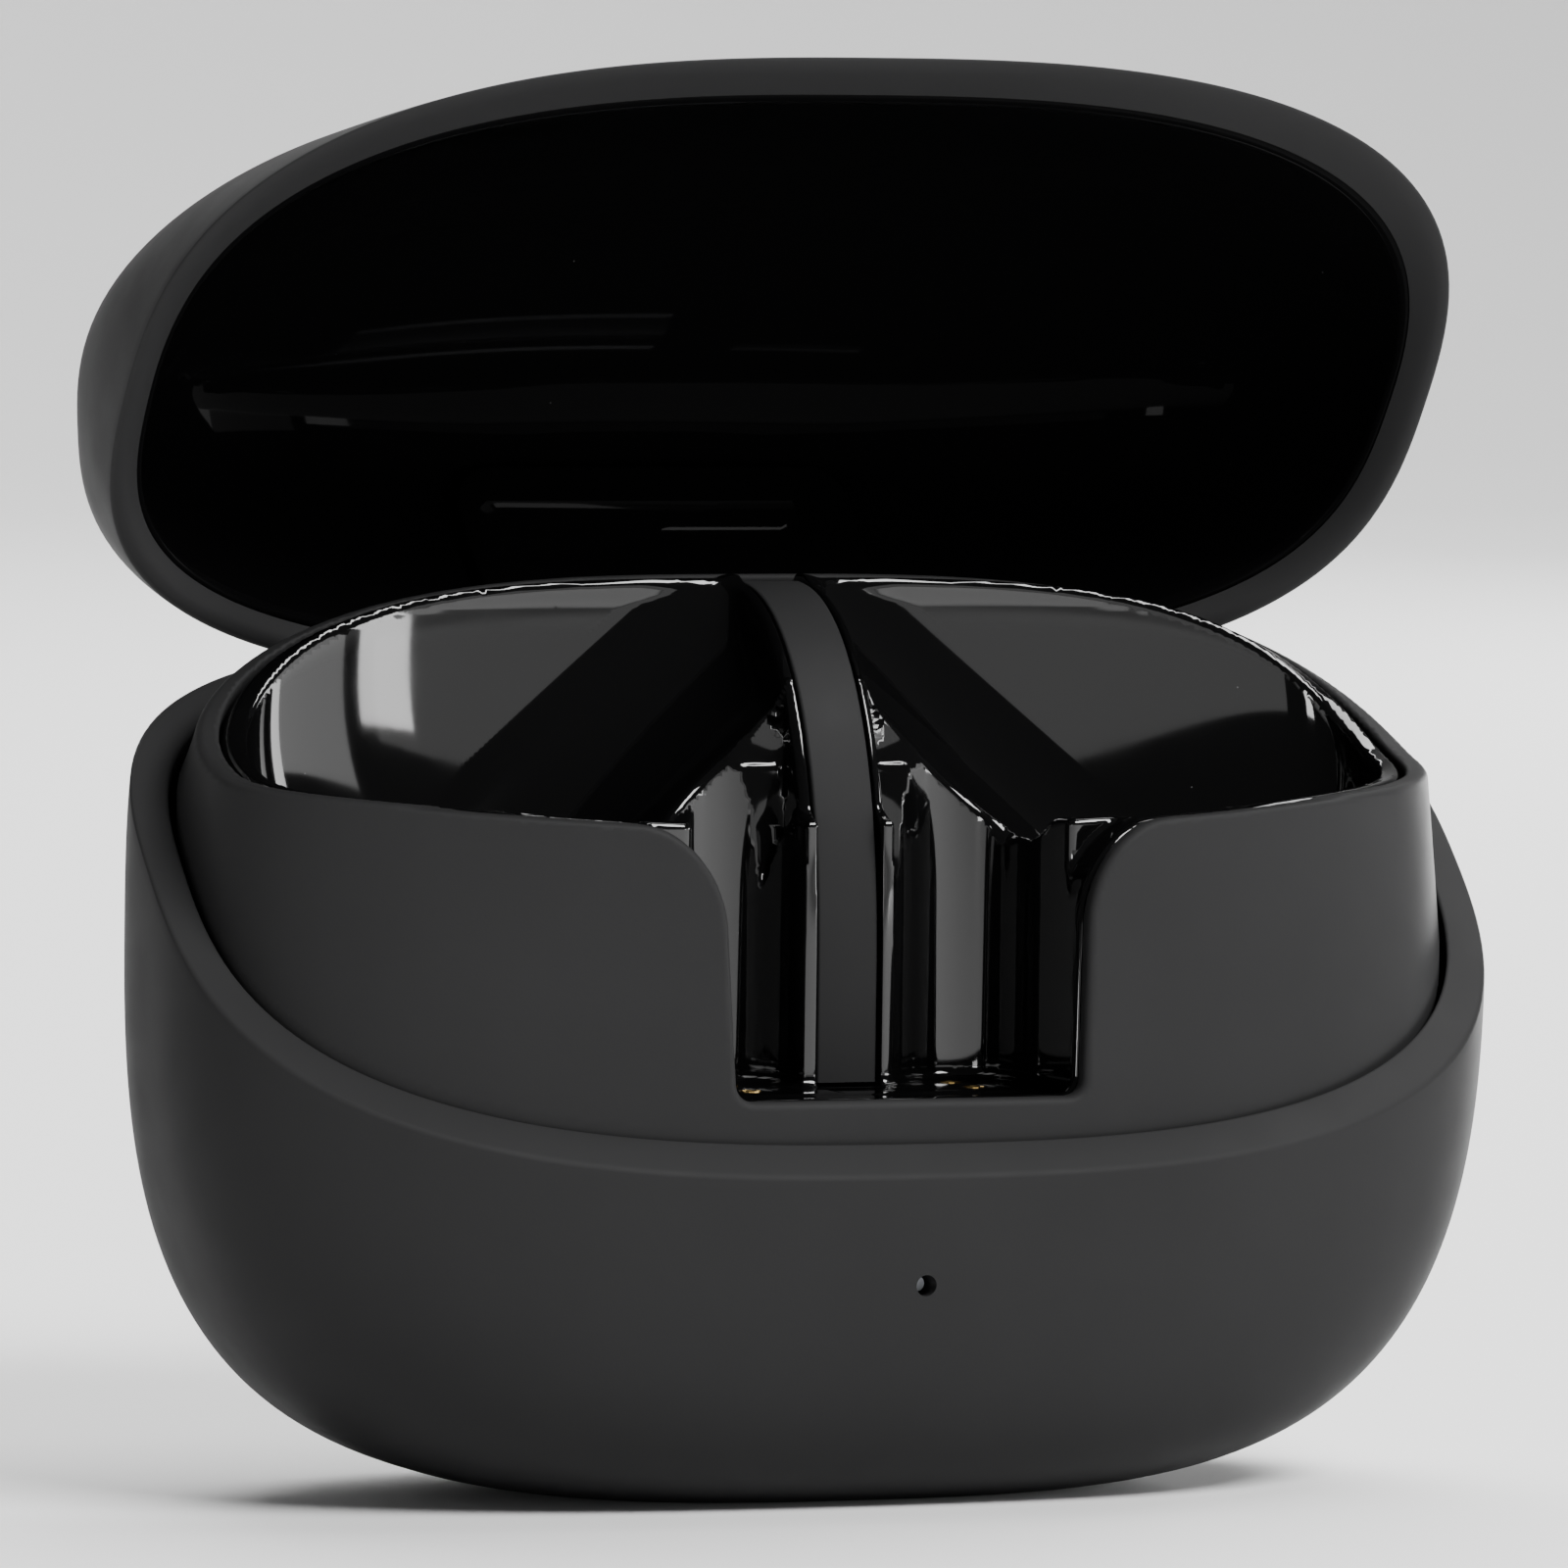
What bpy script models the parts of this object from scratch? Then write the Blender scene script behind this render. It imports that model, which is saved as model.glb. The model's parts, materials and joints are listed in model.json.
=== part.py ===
"""Wireless earbuds case: a soft-touch pebble with a hinged lid, modelled with the lid open.

The case stands on the XY plane with its flat foot at the origin. +X runs along the hinge, -Y is the
front with the status light, +Z is up. Sizes below are millimetres; add_piece() turns them into metres.
"""

import math

import bmesh
import bpy
from mathutils import Matrix, Vector

MM = 0.001

# The closed pebble: its widest section, and the superellipse powers of its outlines
HALF_WIDTH = 30.0
HALF_DEPTH = 13.4
EQUATOR_Z = 24.8
LOWER_DEPTH = 25.0
UPPER_HEIGHT = 22.3
PLAN_POWER = 2.7
SIDE_POWERS = (2.93, 3.75)
LOWER_POWER = 4.5
UPPER_POWER = 1.92

# The parting surface falls from the hinge to the front: height as a polynomial of y
PARTING = (26.8, 0.94, -0.0056, -0.0005)
PARTING_GAP = 0.3

# Lid hinge
HINGE_Y = 10.08
HINGE_Z = 34.81
OPEN_ANGLE = 97.9
BARREL_R = 1.5
BARREL_CLEARANCE = 0.3
BARREL_HALF_LENGTH = 15.0
LID_KNUCKLE_HALF = 6.2
BASE_KNUCKLE_SPAN = (9.8, 14.6)
PIN_R = 0.6
PIN_HALF_LENGTH = 14.0
PIN_CLEARANCE = 0.08
# The steel arm in the lid: its (y, z) path from the knuckle to under the ceiling, lid closed
ARM_PATH = (
    (9.5, 35.5),
    (8.55, 36.6),
    (8.35, 38.2),
    (7.55, 40.2),
    (6.15, 42.3),
    (4.3, 44.0),
    (2.2, 45.05),
)
ARM_THICK = 0.6
COVER_HALF = 9.3
COVER_Y = (7.2, 6.2, 5.2, 3.9, 2.4, 0.95)
COVER_THICK = 0.6
COVER_GAP = 0.5
BRACKET_HALF = 18.6
BRACKET_Y = (7.4, 8.7)
BRACKET_Z = (29.2, 30.0)
SCREW_X = 17.3
SCREW_Y = 8.1
SCREW_Z = (28.3, 32.0)
SCREW_HEAD_R = 0.85
SCREW_SHANK_R = 0.4
SPRING_SPAN = (6.9, 9.3)
SPRING_COIL_R = 1.02
SPRING_WIRE_R = 0.2
SPRING_TURNS = 4

# Walls
BASE_WALL = 1.6
LID_WALL = 0.9
LID_LIP = (0.35, 0.75)
LINER_GAP = 0.2
LID_LINER_WALL = 0.55
LID_LINER_LIFT = 1.25
LID_CEILING_INSET = 3.1
GROOVE = 0.3
FRAME_WALL = 1.0
CRADLE_WALL = 0.8

# Cradle rim: an oval on a curved, rising edge
RIM_HALF_WIDTH = 27.6
RIM_CENTRE_Y = -1.23
RIM_FRONT = 9.76
RIM_REAR = 8.75
RIM_FRONT_POWER = 2.12
RIM_REAR_POWER = 3.1
RIM_HEIGHT = (31.28, 0.409, 0.05, 0.0031)
REAR_SQUEEZE = 0.22
SKIRT_DROP = 1.6
CRADLE_BOTTOM = 16.1

# Stem slots, the finger notch in front of them and the rib between them
SLOT_FLOOR = 17.34
SLOT_X = 5.1
SLOT_R = 3.1
SLOT_BACK_Y = -1.0
NOTCH_HALF_WIDTH = 7.81
NOTCH_FLARE = 0.35
NOTCH_CORNER_R = 0.7
NOTCH_SHOULDER_R = 3.4
RIB_HALF = 1.9
STRIP_HALF = 1.35
STRIP_THICK = 0.5
RIB_PROFILE = (
    (-4.0, 16.6),
    (-3.95, 21.8),
    (-3.6, 26.0),
    (-3.2, 30.1),
    (-2.4, 32.3),
    (-1.2, 34.2),
    (0.2, 36.0),
    (1.7, 37.3),
    (3.2, 38.1),
    (6.1, 38.3),
)

# Wells for the bud heads
WELL_BOTTOM = 19.0
WELL_X = 16.0
WELL_OUTER = 11.2
WELL_INNER = 14.0
WELL_INNER_RISE = 15.3
WELL_FRONT = 9.0
WELL_REAR = 9.5
WELL_Y = -1.5
WELL_WALL = 1.0

# Outside details
LED_Z = 9.7
LED_HOLE_R = 0.45
USB_Z = 13.2
USB_HALF_WIDTH = 4.47
USB_HALF_HEIGHT = 1.58
USB_LENGTH = 7.3
USB_WALL = 0.3
BUTTON_Z = 21.5
BUTTON_R = 2.0
BUTTON_TRAVEL = 0.35

# Inside
BATTERY = (31.0, 13.0, 5.3)
BATTERY_CENTRE = (0.0, -2.0, 6.75)
BOARD_Z = (10.6, 11.4)
PIN_Y = (-5.8, -3.2)
CHARGE_PIN_R = 0.45
CHARGE_PIN_RECESS = 0.12
CHARGE_PIN_CLEARANCE = 0.12
MAGNET_R = 2.5
MAGNET_THICK = 1.2

SEGMENTS = 40
LOOSE = 0.3

MATERIALS = {
    "soft_touch": ((0.034, 0.034, 0.036), 0.52, 0.0),
    "gloss_black": ((0.004, 0.004, 0.004), 0.05, 0.0),
    "steel": ((0.55, 0.55, 0.57), 0.3, 1.0),
    "gold": ((0.85, 0.62, 0.25), 0.25, 1.0),
    "board_green": ((0.02, 0.12, 0.05), 0.45, 0.0),
    "cell_wrap": ((0.55, 0.57, 0.6), 0.35, 0.6),
    "foam": ((0.03, 0.03, 0.03), 0.95, 0.0),
    "light_pipe": ((0.85, 0.87, 0.9), 0.15, 0.0),
    "nickel": ((0.7, 0.69, 0.66), 0.22, 1.0),
    "black_plastic": ((0.015, 0.015, 0.015), 0.4, 0.0),
    "flex_amber": ((0.45, 0.2, 0.04), 0.4, 0.0),
    "lead_red": ((0.45, 0.02, 0.02), 0.45, 0.0),
    "ink_black": ((0.01, 0.01, 0.01), 0.5, 0.0),
}


def clear_scene():
    for old in list(bpy.data.objects):
        bpy.data.objects.remove(old, do_unlink=True)


def material(name):
    found = bpy.data.materials.get(name)
    if found:
        return found
    colour, roughness, metallic = MATERIALS[name]
    made = bpy.data.materials.new(name)
    made.use_nodes = True
    shader = made.node_tree.nodes["Principled BSDF"]
    shader.inputs["Base Color"].default_value = (*colour, 1.0)
    shader.inputs["Roughness"].default_value = roughness
    shader.inputs["Metallic"].default_value = metallic
    return made


def add_piece(name, mesh_data, finish, origin=(0.0, 0.0, 0.0)):
    """A named object from a bmesh in millimetres, its origin at the given point."""
    mesh_data.normal_update()
    bmesh.ops.recalc_face_normals(mesh_data, faces=mesh_data.faces)
    mesh_data.transform(Matrix.Scale(MM, 4) @ Matrix.Translation(-Vector(origin)))
    mesh = bpy.data.meshes.new(name)
    mesh_data.to_mesh(mesh)
    mesh_data.free()
    piece = bpy.data.objects.new(name, mesh)
    piece.location = Vector(origin) * MM
    bpy.context.scene.collection.objects.link(piece)
    mesh.materials.append(material(finish))
    mesh.shade_smooth()
    mesh.set_sharp_from_angle(angle=math.radians(35))
    return piece


def cutter(name, mesh_data):
    helper = add_piece(name, mesh_data, "black_plastic")
    helper.hide_render = True
    helper.display_type = "WIRE"
    return helper


def boolean(piece, other, operation="DIFFERENCE"):
    step = piece.modifiers.new(f"{operation.lower()}_{other.name}", "BOOLEAN")
    step.operation = operation
    step.solver = "EXACT"
    step.object = other


def boolean_all(piece, cutters):
    """One cut with several cutters at once."""
    group = bpy.data.collections.new(f"cuts_of_{piece.name}")
    bpy.context.scene.collection.children.link(group)
    for helper in cutters:
        group.objects.link(helper)
    step = piece.modifiers.new(group.name, "BOOLEAN")
    step.operation = "DIFFERENCE"
    step.solver = "EXACT"
    step.operand_type = "COLLECTION"
    step.collection = group


# Solids in millimetres


def loft(rings):
    """One closed solid through rings of equal length, flat caps on the first and the last."""
    data = bmesh.new()
    rows = [[data.verts.new(point) for point in ring] for ring in rings]
    for low, high in zip(rows, rows[1:]):
        for i in range(len(low)):
            j = (i + 1) % len(low)
            data.faces.new((low[i], low[j], high[j], high[i]))
    data.faces.new(rows[0])
    cap(data, rows[-1])
    return data


def cap(data, row):
    """Closes a ring: flat as one face, a ring mirrored in X by level strips from side to side."""
    heights = [vert.co.z for vert in row]
    if len(row) != SEGMENTS or max(heights) - min(heights) < 0.001:
        data.faces.new(row)
        return
    half = SEGMENTS // 2
    start = SEGMENTS // 4
    right = [row[(start - 1 - k) % SEGMENTS] for k in range(half)]
    left = [row[(start + k) % SEGMENTS] for k in range(half)]
    for k in range(half - 1):
        data.faces.new((right[k], right[k + 1], left[k + 1], left[k]))


def box(low, high):
    data = bmesh.new()
    bmesh.ops.create_cube(data, size=1.0)
    centre = [(a + b) / 2 for a, b in zip(low, high)]
    sides = [b - a for a, b in zip(low, high)]
    data.transform(Matrix.Translation(centre) @ Matrix.Diagonal((*sides, 1.0)))
    return data


def rounded_box(low, high, radius, segments=2):
    data = box(low, high)
    bmesh.ops.bevel(
        data, geom=list(data.edges), offset=radius, segments=segments, affect="EDGES", profile=0.5
    )
    return data


def rod(start, end, radius, sides=16):
    """A cylinder between two points."""
    start, end = Vector(start), Vector(end)
    data = bmesh.new()
    bmesh.ops.create_cone(
        data, cap_ends=True, segments=sides, radius1=radius, radius2=radius, depth=(end - start).length
    )
    turn = (end - start).to_track_quat("Z", "Y").to_matrix().to_4x4()
    data.transform(Matrix.Translation((start + end) / 2) @ turn)
    return data


def prism_x(profile, x_low, x_high):
    """A (y, z) outline extruded along X."""
    return loft([[(x, y, z) for y, z in profile] for x in (x_low, x_high)])


def arc(centre, radius, start, end, steps):
    """Points on a circle in a plane, angles in degrees."""
    angles = [math.radians(start + (end - start) * k / steps) for k in range(steps + 1)]
    return [(centre[0] + radius * math.cos(a), centre[1] + radius * math.sin(a)) for a in angles]


# Shape of the pebble


def signed_power(value, power):
    return math.copysign(abs(value) ** (2 / power), value)


def angles():
    return [2 * math.pi * (k + 0.5) / SEGMENTS for k in range(SEGMENTS)]


def polynomial(terms, y):
    return sum(term * y**k for k, term in enumerate(terms))


def half_sizes(z, inset=0.0, top_inset=None, upper_power=UPPER_POWER):
    """Half width and half depth of the pebble at height z, inside its skin by an inset."""
    side, end = SIDE_POWERS
    top_inset = inset if top_inset is None else top_inset
    if z < EQUATOR_Z:
        t, power = (EQUATOR_Z - z) / (LOWER_DEPTH - inset), LOWER_POWER
    else:
        t, power = (z - EQUATOR_Z) / (UPPER_HEIGHT - top_inset), upper_power
    t = min(t, 0.9999)
    half_x = (HALF_WIDTH - inset) * (1 - t**side) ** (1 / end)
    half_y = (HALF_DEPTH - inset) * (1 - t**power) ** (1 / power)
    return half_x, half_y


def skin_point(angle, z, inset=0.0, **shape):
    half_x, half_y = half_sizes(z, inset, **shape)
    x = half_x * signed_power(math.cos(angle), PLAN_POWER)
    y = half_y * signed_power(math.sin(angle), PLAN_POWER)
    return x, y, z


def parting_height(angle, inset=0.0):
    """Height at which the skin meets the parting surface, by bisection."""
    low, high = 8.0, 44.0
    for _ in range(40):
        z = (low + high) / 2
        if z < polynomial(PARTING, skin_point(angle, z, inset)[1]):
            low = z
        else:
            high = z
    return low


def eased(k, count):
    return 1 - math.cos(math.pi / 2 * k / count)


def base_rows(inset, bottom, edge_drop, count):
    """Rings of the skin from the bottom up to the parting line."""
    rows = []
    for k in range(count + 1):
        ring = []
        for angle in angles():
            top = parting_height(angle, inset) - edge_drop
            ring.append(skin_point(angle, bottom + (top - bottom) * eased(k, count), inset))
        rows.append(ring)
    return rows


def lid_rows(inset, top, edge_lift, count, **shape):
    """Rings of the skin from the top down to the parting line."""
    rows = []
    for k in range(count + 1):
        ring = []
        for angle in angles():
            edge = parting_height(angle, inset) + edge_lift
            ring.append(skin_point(angle, top - (top - edge) * eased(k, count), inset, **shape))
        rows.append(ring)
    return rows


# Opening the lid


def opened(data):
    """Turns lid geometry from the closed place to the open one."""
    axis = Vector((0.0, HINGE_Y, HINGE_Z))
    turn = Matrix.Rotation(math.radians(-OPEN_ANGLE), 4, "X")
    data.transform(Matrix.Translation(axis) @ turn @ Matrix.Translation(-axis))
    return data


def add_lid_piece(name, data, finish):
    return add_piece(name, opened(data), finish, origin=(0.0, HINGE_Y, HINGE_Z))


def lid_cutter(name, data):
    return cutter(name, opened(data))


def barrel_zone():
    reach = BARREL_HALF_LENGTH + LOOSE
    return rod((-reach, HINGE_Y, HINGE_Z), (reach, HINGE_Y, HINGE_Z), BARREL_R + BARREL_CLEARANCE, 24)


# Outer shells


def base_shell():
    outer = base_rows(0.0, 0.0, PARTING_GAP / 2, 10)
    inner = base_rows(BASE_WALL, BASE_WALL, PARTING_GAP / 2, 8)
    shell = add_piece("base_shell", loft(outer + inner[::-1]), "soft_touch")
    boolean(shell, cutter("cut_barrel_base", barrel_zone()))
    boolean(shell, cutter("cut_lean_back", lean_back_relief()))
    boolean(shell, cutter("cut_led_hole", rod((0, -16, LED_Z), (0, -8, LED_Z), LED_HOLE_R, 16)))
    usb_clear = 0.25
    usb_low = (-USB_HALF_WIDTH - usb_clear, 9, USB_Z - USB_HALF_HEIGHT - usb_clear)
    usb_high = (USB_HALF_WIDTH + usb_clear, 17, USB_Z + USB_HALF_HEIGHT + usb_clear)
    boolean(shell, cutter("cut_usb", stadium_block(usb_low, usb_high)))
    button_hole = rod((0, 9, BUTTON_Z), (0, 17, BUTTON_Z), BUTTON_R + LOOSE, 24)
    boolean(shell, cutter("cut_button", button_hole))
    return shell


def lean_back_relief():
    """Room behind the hinge for the lid's rear edge: the parting line turned with the lid."""
    slope = PARTING[1] + 2 * PARTING[2] * HINGE_Y + 3 * PARTING[3] * HINGE_Y**2
    offset = polynomial(PARTING, HINGE_Y) - HINGE_Z
    turn = math.radians(OPEN_ANGLE)
    point = (offset * math.sin(turn), offset * math.cos(turn))
    along = (math.cos(turn) + slope * math.sin(turn), -math.sin(turn) + slope * math.cos(turn))
    length = math.hypot(*along)
    along = (along[0] / length, along[1] / length)
    # One clearance to the front of the turned lid edge
    start = (point[0] + LOOSE * along[1], point[1] - LOOSE * along[0])
    high, low = -1.2, 4.6
    corners = [(start[0] + along[0] * t, start[1] + along[1] * t) for t in (high, low)]
    corners += [(6.0, corners[1][1]), (6.0, corners[0][1])]
    outline = [(HINGE_Y + y, HINGE_Z + z) for y, z in corners]
    return prism_x(outline, -20.0, 20.0)


def stadium_block(low, high):
    """A block with its ends rounded in the XZ plane, for the USB mouth."""
    radius = (high[2] - low[2]) / 2
    middle = (high[2] + low[2]) / 2
    outline = arc((high[0] - radius, middle), radius, -90, 90, 8)
    outline += arc((low[0] + radius, middle), radius, 90, 270, 8)
    return loft([[(x, y, z) for x, z in outline] for y in (low[1], high[1])])


def lid_shell():
    top = EQUATOR_Z + UPPER_HEIGHT
    edge = PARTING_GAP / 2
    outer = lid_rows(0.0, top - 0.05, edge, 10)
    flat, rise = LID_LIP
    flat_ring = [skin_point(a, parting_height(a, flat) + edge, flat) for a in angles()]
    inner = lid_rows(LID_WALL, top - LID_WALL - 0.05, edge + rise, 8)
    shell = add_lid_piece("lid_shell", loft(outer + [flat_ring] + inner[::-1]), "soft_touch")
    boolean(shell, lid_cutter("cut_barrel_lid", barrel_zone()))
    return shell


def lid_liner():
    top = EQUATOR_Z + UPPER_HEIGHT
    outer_inset = LID_WALL + LINER_GAP
    inner_inset = outer_inset + LID_LINER_WALL
    ceiling = {"top_inset": LID_CEILING_INSET, "upper_power": 2.0}
    above = {"top_inset": LID_CEILING_INSET - LID_LINER_WALL, "upper_power": 2.0}
    lift = LID_LINER_LIFT
    outer = lid_rows(outer_inset, top - above["top_inset"] - 0.05, lift, 8, **above)
    inner = lid_rows(inner_inset, top - ceiling["top_inset"] - 0.05, lift, 7, **ceiling)
    liner = add_lid_piece("lid_liner", loft(outer + inner[::-1]), "gloss_black")
    window = box((-COVER_HALF + 1.2, 2.4, 30.0), (COVER_HALF - 1.2, 14.0, 48.0))
    boolean(liner, lid_cutter("cut_arm_window", window))
    return liner


# Hinge


def offset_path(path, distance):
    """The path moved to its left by a distance."""
    points = [Vector(p) for p in path]
    moved = []
    for k, point in enumerate(points):
        run = (points[min(k + 1, len(points) - 1)] - points[max(k - 1, 0)]).normalized()
        moved.append(tuple(point + Vector((-run.y, run.x)) * distance))
    return moved


def band(path, thick):
    """Closed outline of a strip: a path and the same path offset to its left."""
    return list(path) + offset_path(path, thick)[::-1]


def hinge_axis_rod(x_low, x_high, radius, sides=20):
    return rod((x_low, HINGE_Y, HINGE_Z), (x_high, HINGE_Y, HINGE_Z), radius, sides)


def hinge_arm():
    half = LID_KNUCKLE_HALF
    arm = add_lid_piece("hinge_arm", prism_x(band(ARM_PATH, ARM_THICK), -half, half), "steel")
    boolean(arm, lid_cutter("join_arm_knuckle", hinge_axis_rod(-half, half, BARREL_R)), "UNION")
    boolean(arm, lid_cutter("cut_arm_bore", hinge_axis_rod(-half - 1, half + 1, PIN_R + PIN_CLEARANCE)))
    return arm


def hinge_cover():
    """A raised panel over the arm, that follows the curve of the lid's ceiling."""
    reach = HALF_DEPTH - (LID_WALL + LINER_GAP + LID_LINER_WALL + COVER_GAP)
    height = UPPER_HEIGHT - LID_CEILING_INSET - COVER_GAP
    path = [(y, EQUATOR_Z + height * math.sqrt(1 - (y / reach) ** 2)) for y in COVER_Y]
    cover = prism_x(band(path, COVER_THICK), -COVER_HALF, COVER_HALF)
    return add_lid_piece("hinge_cover", cover, "gloss_black")


def hinge_bracket():
    """Fixed half of the hinge: two knuckles on webs, joined by a bar under the cradle's shoulder."""
    bar = box(*zip((-BRACKET_HALF, BRACKET_HALF), BRACKET_Y, BRACKET_Z))
    bracket = add_piece("hinge_bracket", bar, "steel")
    near, far = BASE_KNUCKLE_SPAN
    for side in (-1, 1):
        low, high = sorted((side * near, side * far))
        web = box((low, 8.0, 29.6), (high, 8.7, 34.3))
        boolean(bracket, cutter(f"join_web_{side + 1}", web), "UNION")
        step = box((low, 8.1, 33.3), (high, 9.6, 34.2))
        boolean(bracket, cutter(f"join_step_{side + 1}", step), "UNION")
        knuckle = hinge_axis_rod(low, high, BARREL_R)
        boolean(bracket, cutter(f"join_knuckle_{side + 1}", knuckle), "UNION")
        hole = rod((side * SCREW_X, SCREW_Y, 28), (side * SCREW_X, SCREW_Y, 32), 0.55, 12)
        boolean(bracket, cutter(f"cut_bracket_screw_{side + 1}", hole))
    bore = hinge_axis_rod(-PIN_HALF_LENGTH - 0.3, PIN_HALF_LENGTH + 0.3, PIN_R + PIN_CLEARANCE)
    boolean(bracket, cutter("cut_bracket_bore", bore))
    return bracket


def hinge_pin():
    return add_piece("hinge_pin", hinge_axis_rod(-PIN_HALF_LENGTH, PIN_HALF_LENGTH, PIN_R, 16), "steel")


def wire(name, points, radius, finish):
    """A round wire through points, as a curve with closed ends."""
    curve = bpy.data.curves.new(name, "CURVE")
    curve.dimensions = "3D"
    curve.bevel_depth = radius * MM
    curve.bevel_resolution = 1
    curve.use_fill_caps = True
    spline = curve.splines.new("POLY")
    spline.points.add(len(points) - 1)
    for target, point in zip(spline.points, points):
        target.co = (*(Vector(point) * MM), 1.0)
    curve.materials.append(material(finish))
    bpy.context.scene.collection.objects.link(bpy.data.objects.new(name, curve))


def hinge_spring(name, side):
    """A torsion spring round the pin, with its fixed leg turned down behind the bracket bar."""
    steps = SPRING_TURNS * 10
    start_x, end_x = (side * x for x in SPRING_SPAN)
    points = []
    for k in range(steps + 1):
        t = k / steps
        a = 2 * math.pi * SPRING_TURNS * t - math.pi / 2
        y = HINGE_Y + SPRING_COIL_R * math.cos(a)
        z = HINGE_Z + SPRING_COIL_R * math.sin(a)
        points.append((start_x + (end_x - start_x) * t, y, z))
    x, y, z = points[-1]
    points.append((x, y - 0.7, z - 0.05))
    wire(name, points, SPRING_WIRE_R, "steel")


def bracket_screw(name, side):
    """A small pan-head screw with a cross recess, up through the bracket into the cradle frame."""
    head, tip = (Vector((side * SCREW_X, SCREW_Y, z)) for z in SCREW_Z)
    up = Vector((0.0, 0.0, 0.6))
    piece = add_piece(name, rod(head, head + up, SCREW_HEAD_R, 14), "steel")
    boolean(piece, cutter(f"join_{name}", rod(head + up / 2, tip, SCREW_SHANK_R, 10)), "UNION")
    for k, sides in enumerate(((1.0, 0.24, 0.5), (0.24, 1.0, 0.5))):
        half = Vector(sides) / 2
        boolean(piece, cutter(f"cut_{name}_{k}", box(head - half, head + half)))


# Cradle


def cradle_ring(inset, share):
    """One ring of the cradle wall: share 0 at the groove, 1 at the rim."""
    ring = []
    for angle in angles():
        ring.append(cradle_point(angle, inset, share))
    return ring


def cradle_point(angle, inset, share):
    """A point between the groove and the rim, inside the wall's outer face by an inset."""
    c, s = math.cos(angle), math.sin(angle)
    foot_inset = BASE_WALL + GROOVE + inset
    z_foot = parting_height(angle)
    x_foot, y_foot, _ = skin_point(angle, z_foot, foot_inset)
    if s > 0:
        y_foot *= 1 - REAR_SQUEEZE * s * s
        z_foot = min(z_foot, polynomial(PARTING, y_foot) + 0.2)
    power, reach = (RIM_REAR_POWER, RIM_REAR) if s > 0 else (RIM_FRONT_POWER, RIM_FRONT)
    x_rim = (RIM_HALF_WIDTH - inset) * signed_power(c, power)
    y_rim = RIM_CENTRE_Y + (reach - inset) * signed_power(s, power)
    y_outer = RIM_CENTRE_Y + reach * signed_power(s, power)
    z_rim = polynomial(RIM_HEIGHT, y_outer)
    return (
        x_foot + (x_rim - x_foot) * share,
        y_foot + (y_rim - y_foot) * share,
        z_foot + (z_rim - z_foot) * share,
    )


def cradle_skirt(inset, lift):
    """Rings of the skirt inside the base shell, from its lower edge to just under the groove."""
    low, high = [], []
    for angle in angles():
        top = parting_height(angle) - (0.9 + 1.6 * max(0.0, math.sin(angle))) + lift
        low.append(skin_point(angle, top - SKIRT_DROP, BASE_WALL + GROOVE + inset))
        high.append(skin_point(angle, top, BASE_WALL + GROOVE + inset))
    return [low, high]


def cradle_frame():
    outer = cradle_skirt(0.0, 0.0) + [cradle_ring(0.0, k / 3) for k in range(4)]
    inner = cradle_skirt(FRAME_WALL, -FRAME_WALL) + [cradle_ring(FRAME_WALL, k / 3) for k in range(4)]
    frame = add_piece("cradle_frame", tube(outer, inner), "soft_touch")
    boolean(frame, cutter("cut_notch_frame", notch_block()))
    boolean(frame, cutter("cut_barrel_frame", barrel_zone()))
    near, far = BASE_KNUCKLE_SPAN
    for side in (-1, 1):
        low, high = sorted((side * (near - LOOSE), side * (far + LOOSE)))
        boolean(frame, cutter(f"cut_web_{side + 1}", box((low, 7.6, 28.0), (high, 10.0, 36.5))))
    for side in (-1, 1):
        hole = rod((side * SCREW_X, SCREW_Y, 28), (side * SCREW_X, SCREW_Y, 32.6), 0.5, 12)
        boolean(frame, cutter(f"cut_frame_screw_{side + 1}", hole))
    return frame


def tube(outer, inner):
    """A ring-shaped solid between an outer and an inner stack of rings."""
    data = bmesh.new()
    stack = outer + inner[::-1]
    rows = [[data.verts.new(point) for point in ring] for ring in stack]
    for low, high in zip(rows, rows[1:] + rows[:1]):
        for i in range(len(low)):
            j = (i + 1) % len(low)
            data.faces.new((low[i], low[j], high[j], high[i]))
    return data


def notch_outline(grow=0.0):
    """The finger notch seen from the front: a U with a small lower radius and a wide shoulder."""
    half, r, big = NOTCH_HALF_WIDTH + grow, NOTCH_CORNER_R, NOTCH_SHOULDER_R
    floor = SLOT_FLOOR - grow
    side_top = 27.2
    shoulder = (half + NOTCH_FLARE + big, side_top - big)
    right = [(x, z) for x, z in arc((half - r, floor + r), r, -90, 0, 3)]
    right += arc(shoulder, big, 180, 97, 5)
    right += [(shoulder[0] + 0.6, 29.6), (shoulder[0] + 0.6, 34.0)]
    left = [(-x, z) for x, z in reversed(right)]
    return right + left


def notch_block(grow=0.0):
    return loft([[(x, y, z) for x, z in notch_outline(grow)] for y in (-14.0, -7.6)])


def cradle_block(inset, bottom, top_extra=0.0):
    """The solid inside the cradle wall, from a flat bottom up to the rim."""
    rows = [[(x, y, bottom) for x, y, _ in cradle_ring(inset + 0.8, 0.0)]]
    for k in range(4):
        share = k / 3
        ring = []
        for angle in angles():
            x, y, z = cradle_point(angle, inset, share)
            ring.append((x, y, max(z, bottom + 0.4 * (k + 1))))
        rows.append(ring)
    if top_extra:
        rows.append([(x, y, z + top_extra) for x, y, z in rows[-1]])
    return rows


def rim_lowered(rows, drop):
    return rows[:-1] + [[(x, y, z - drop) for x, y, z in rows[-1]]]


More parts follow.
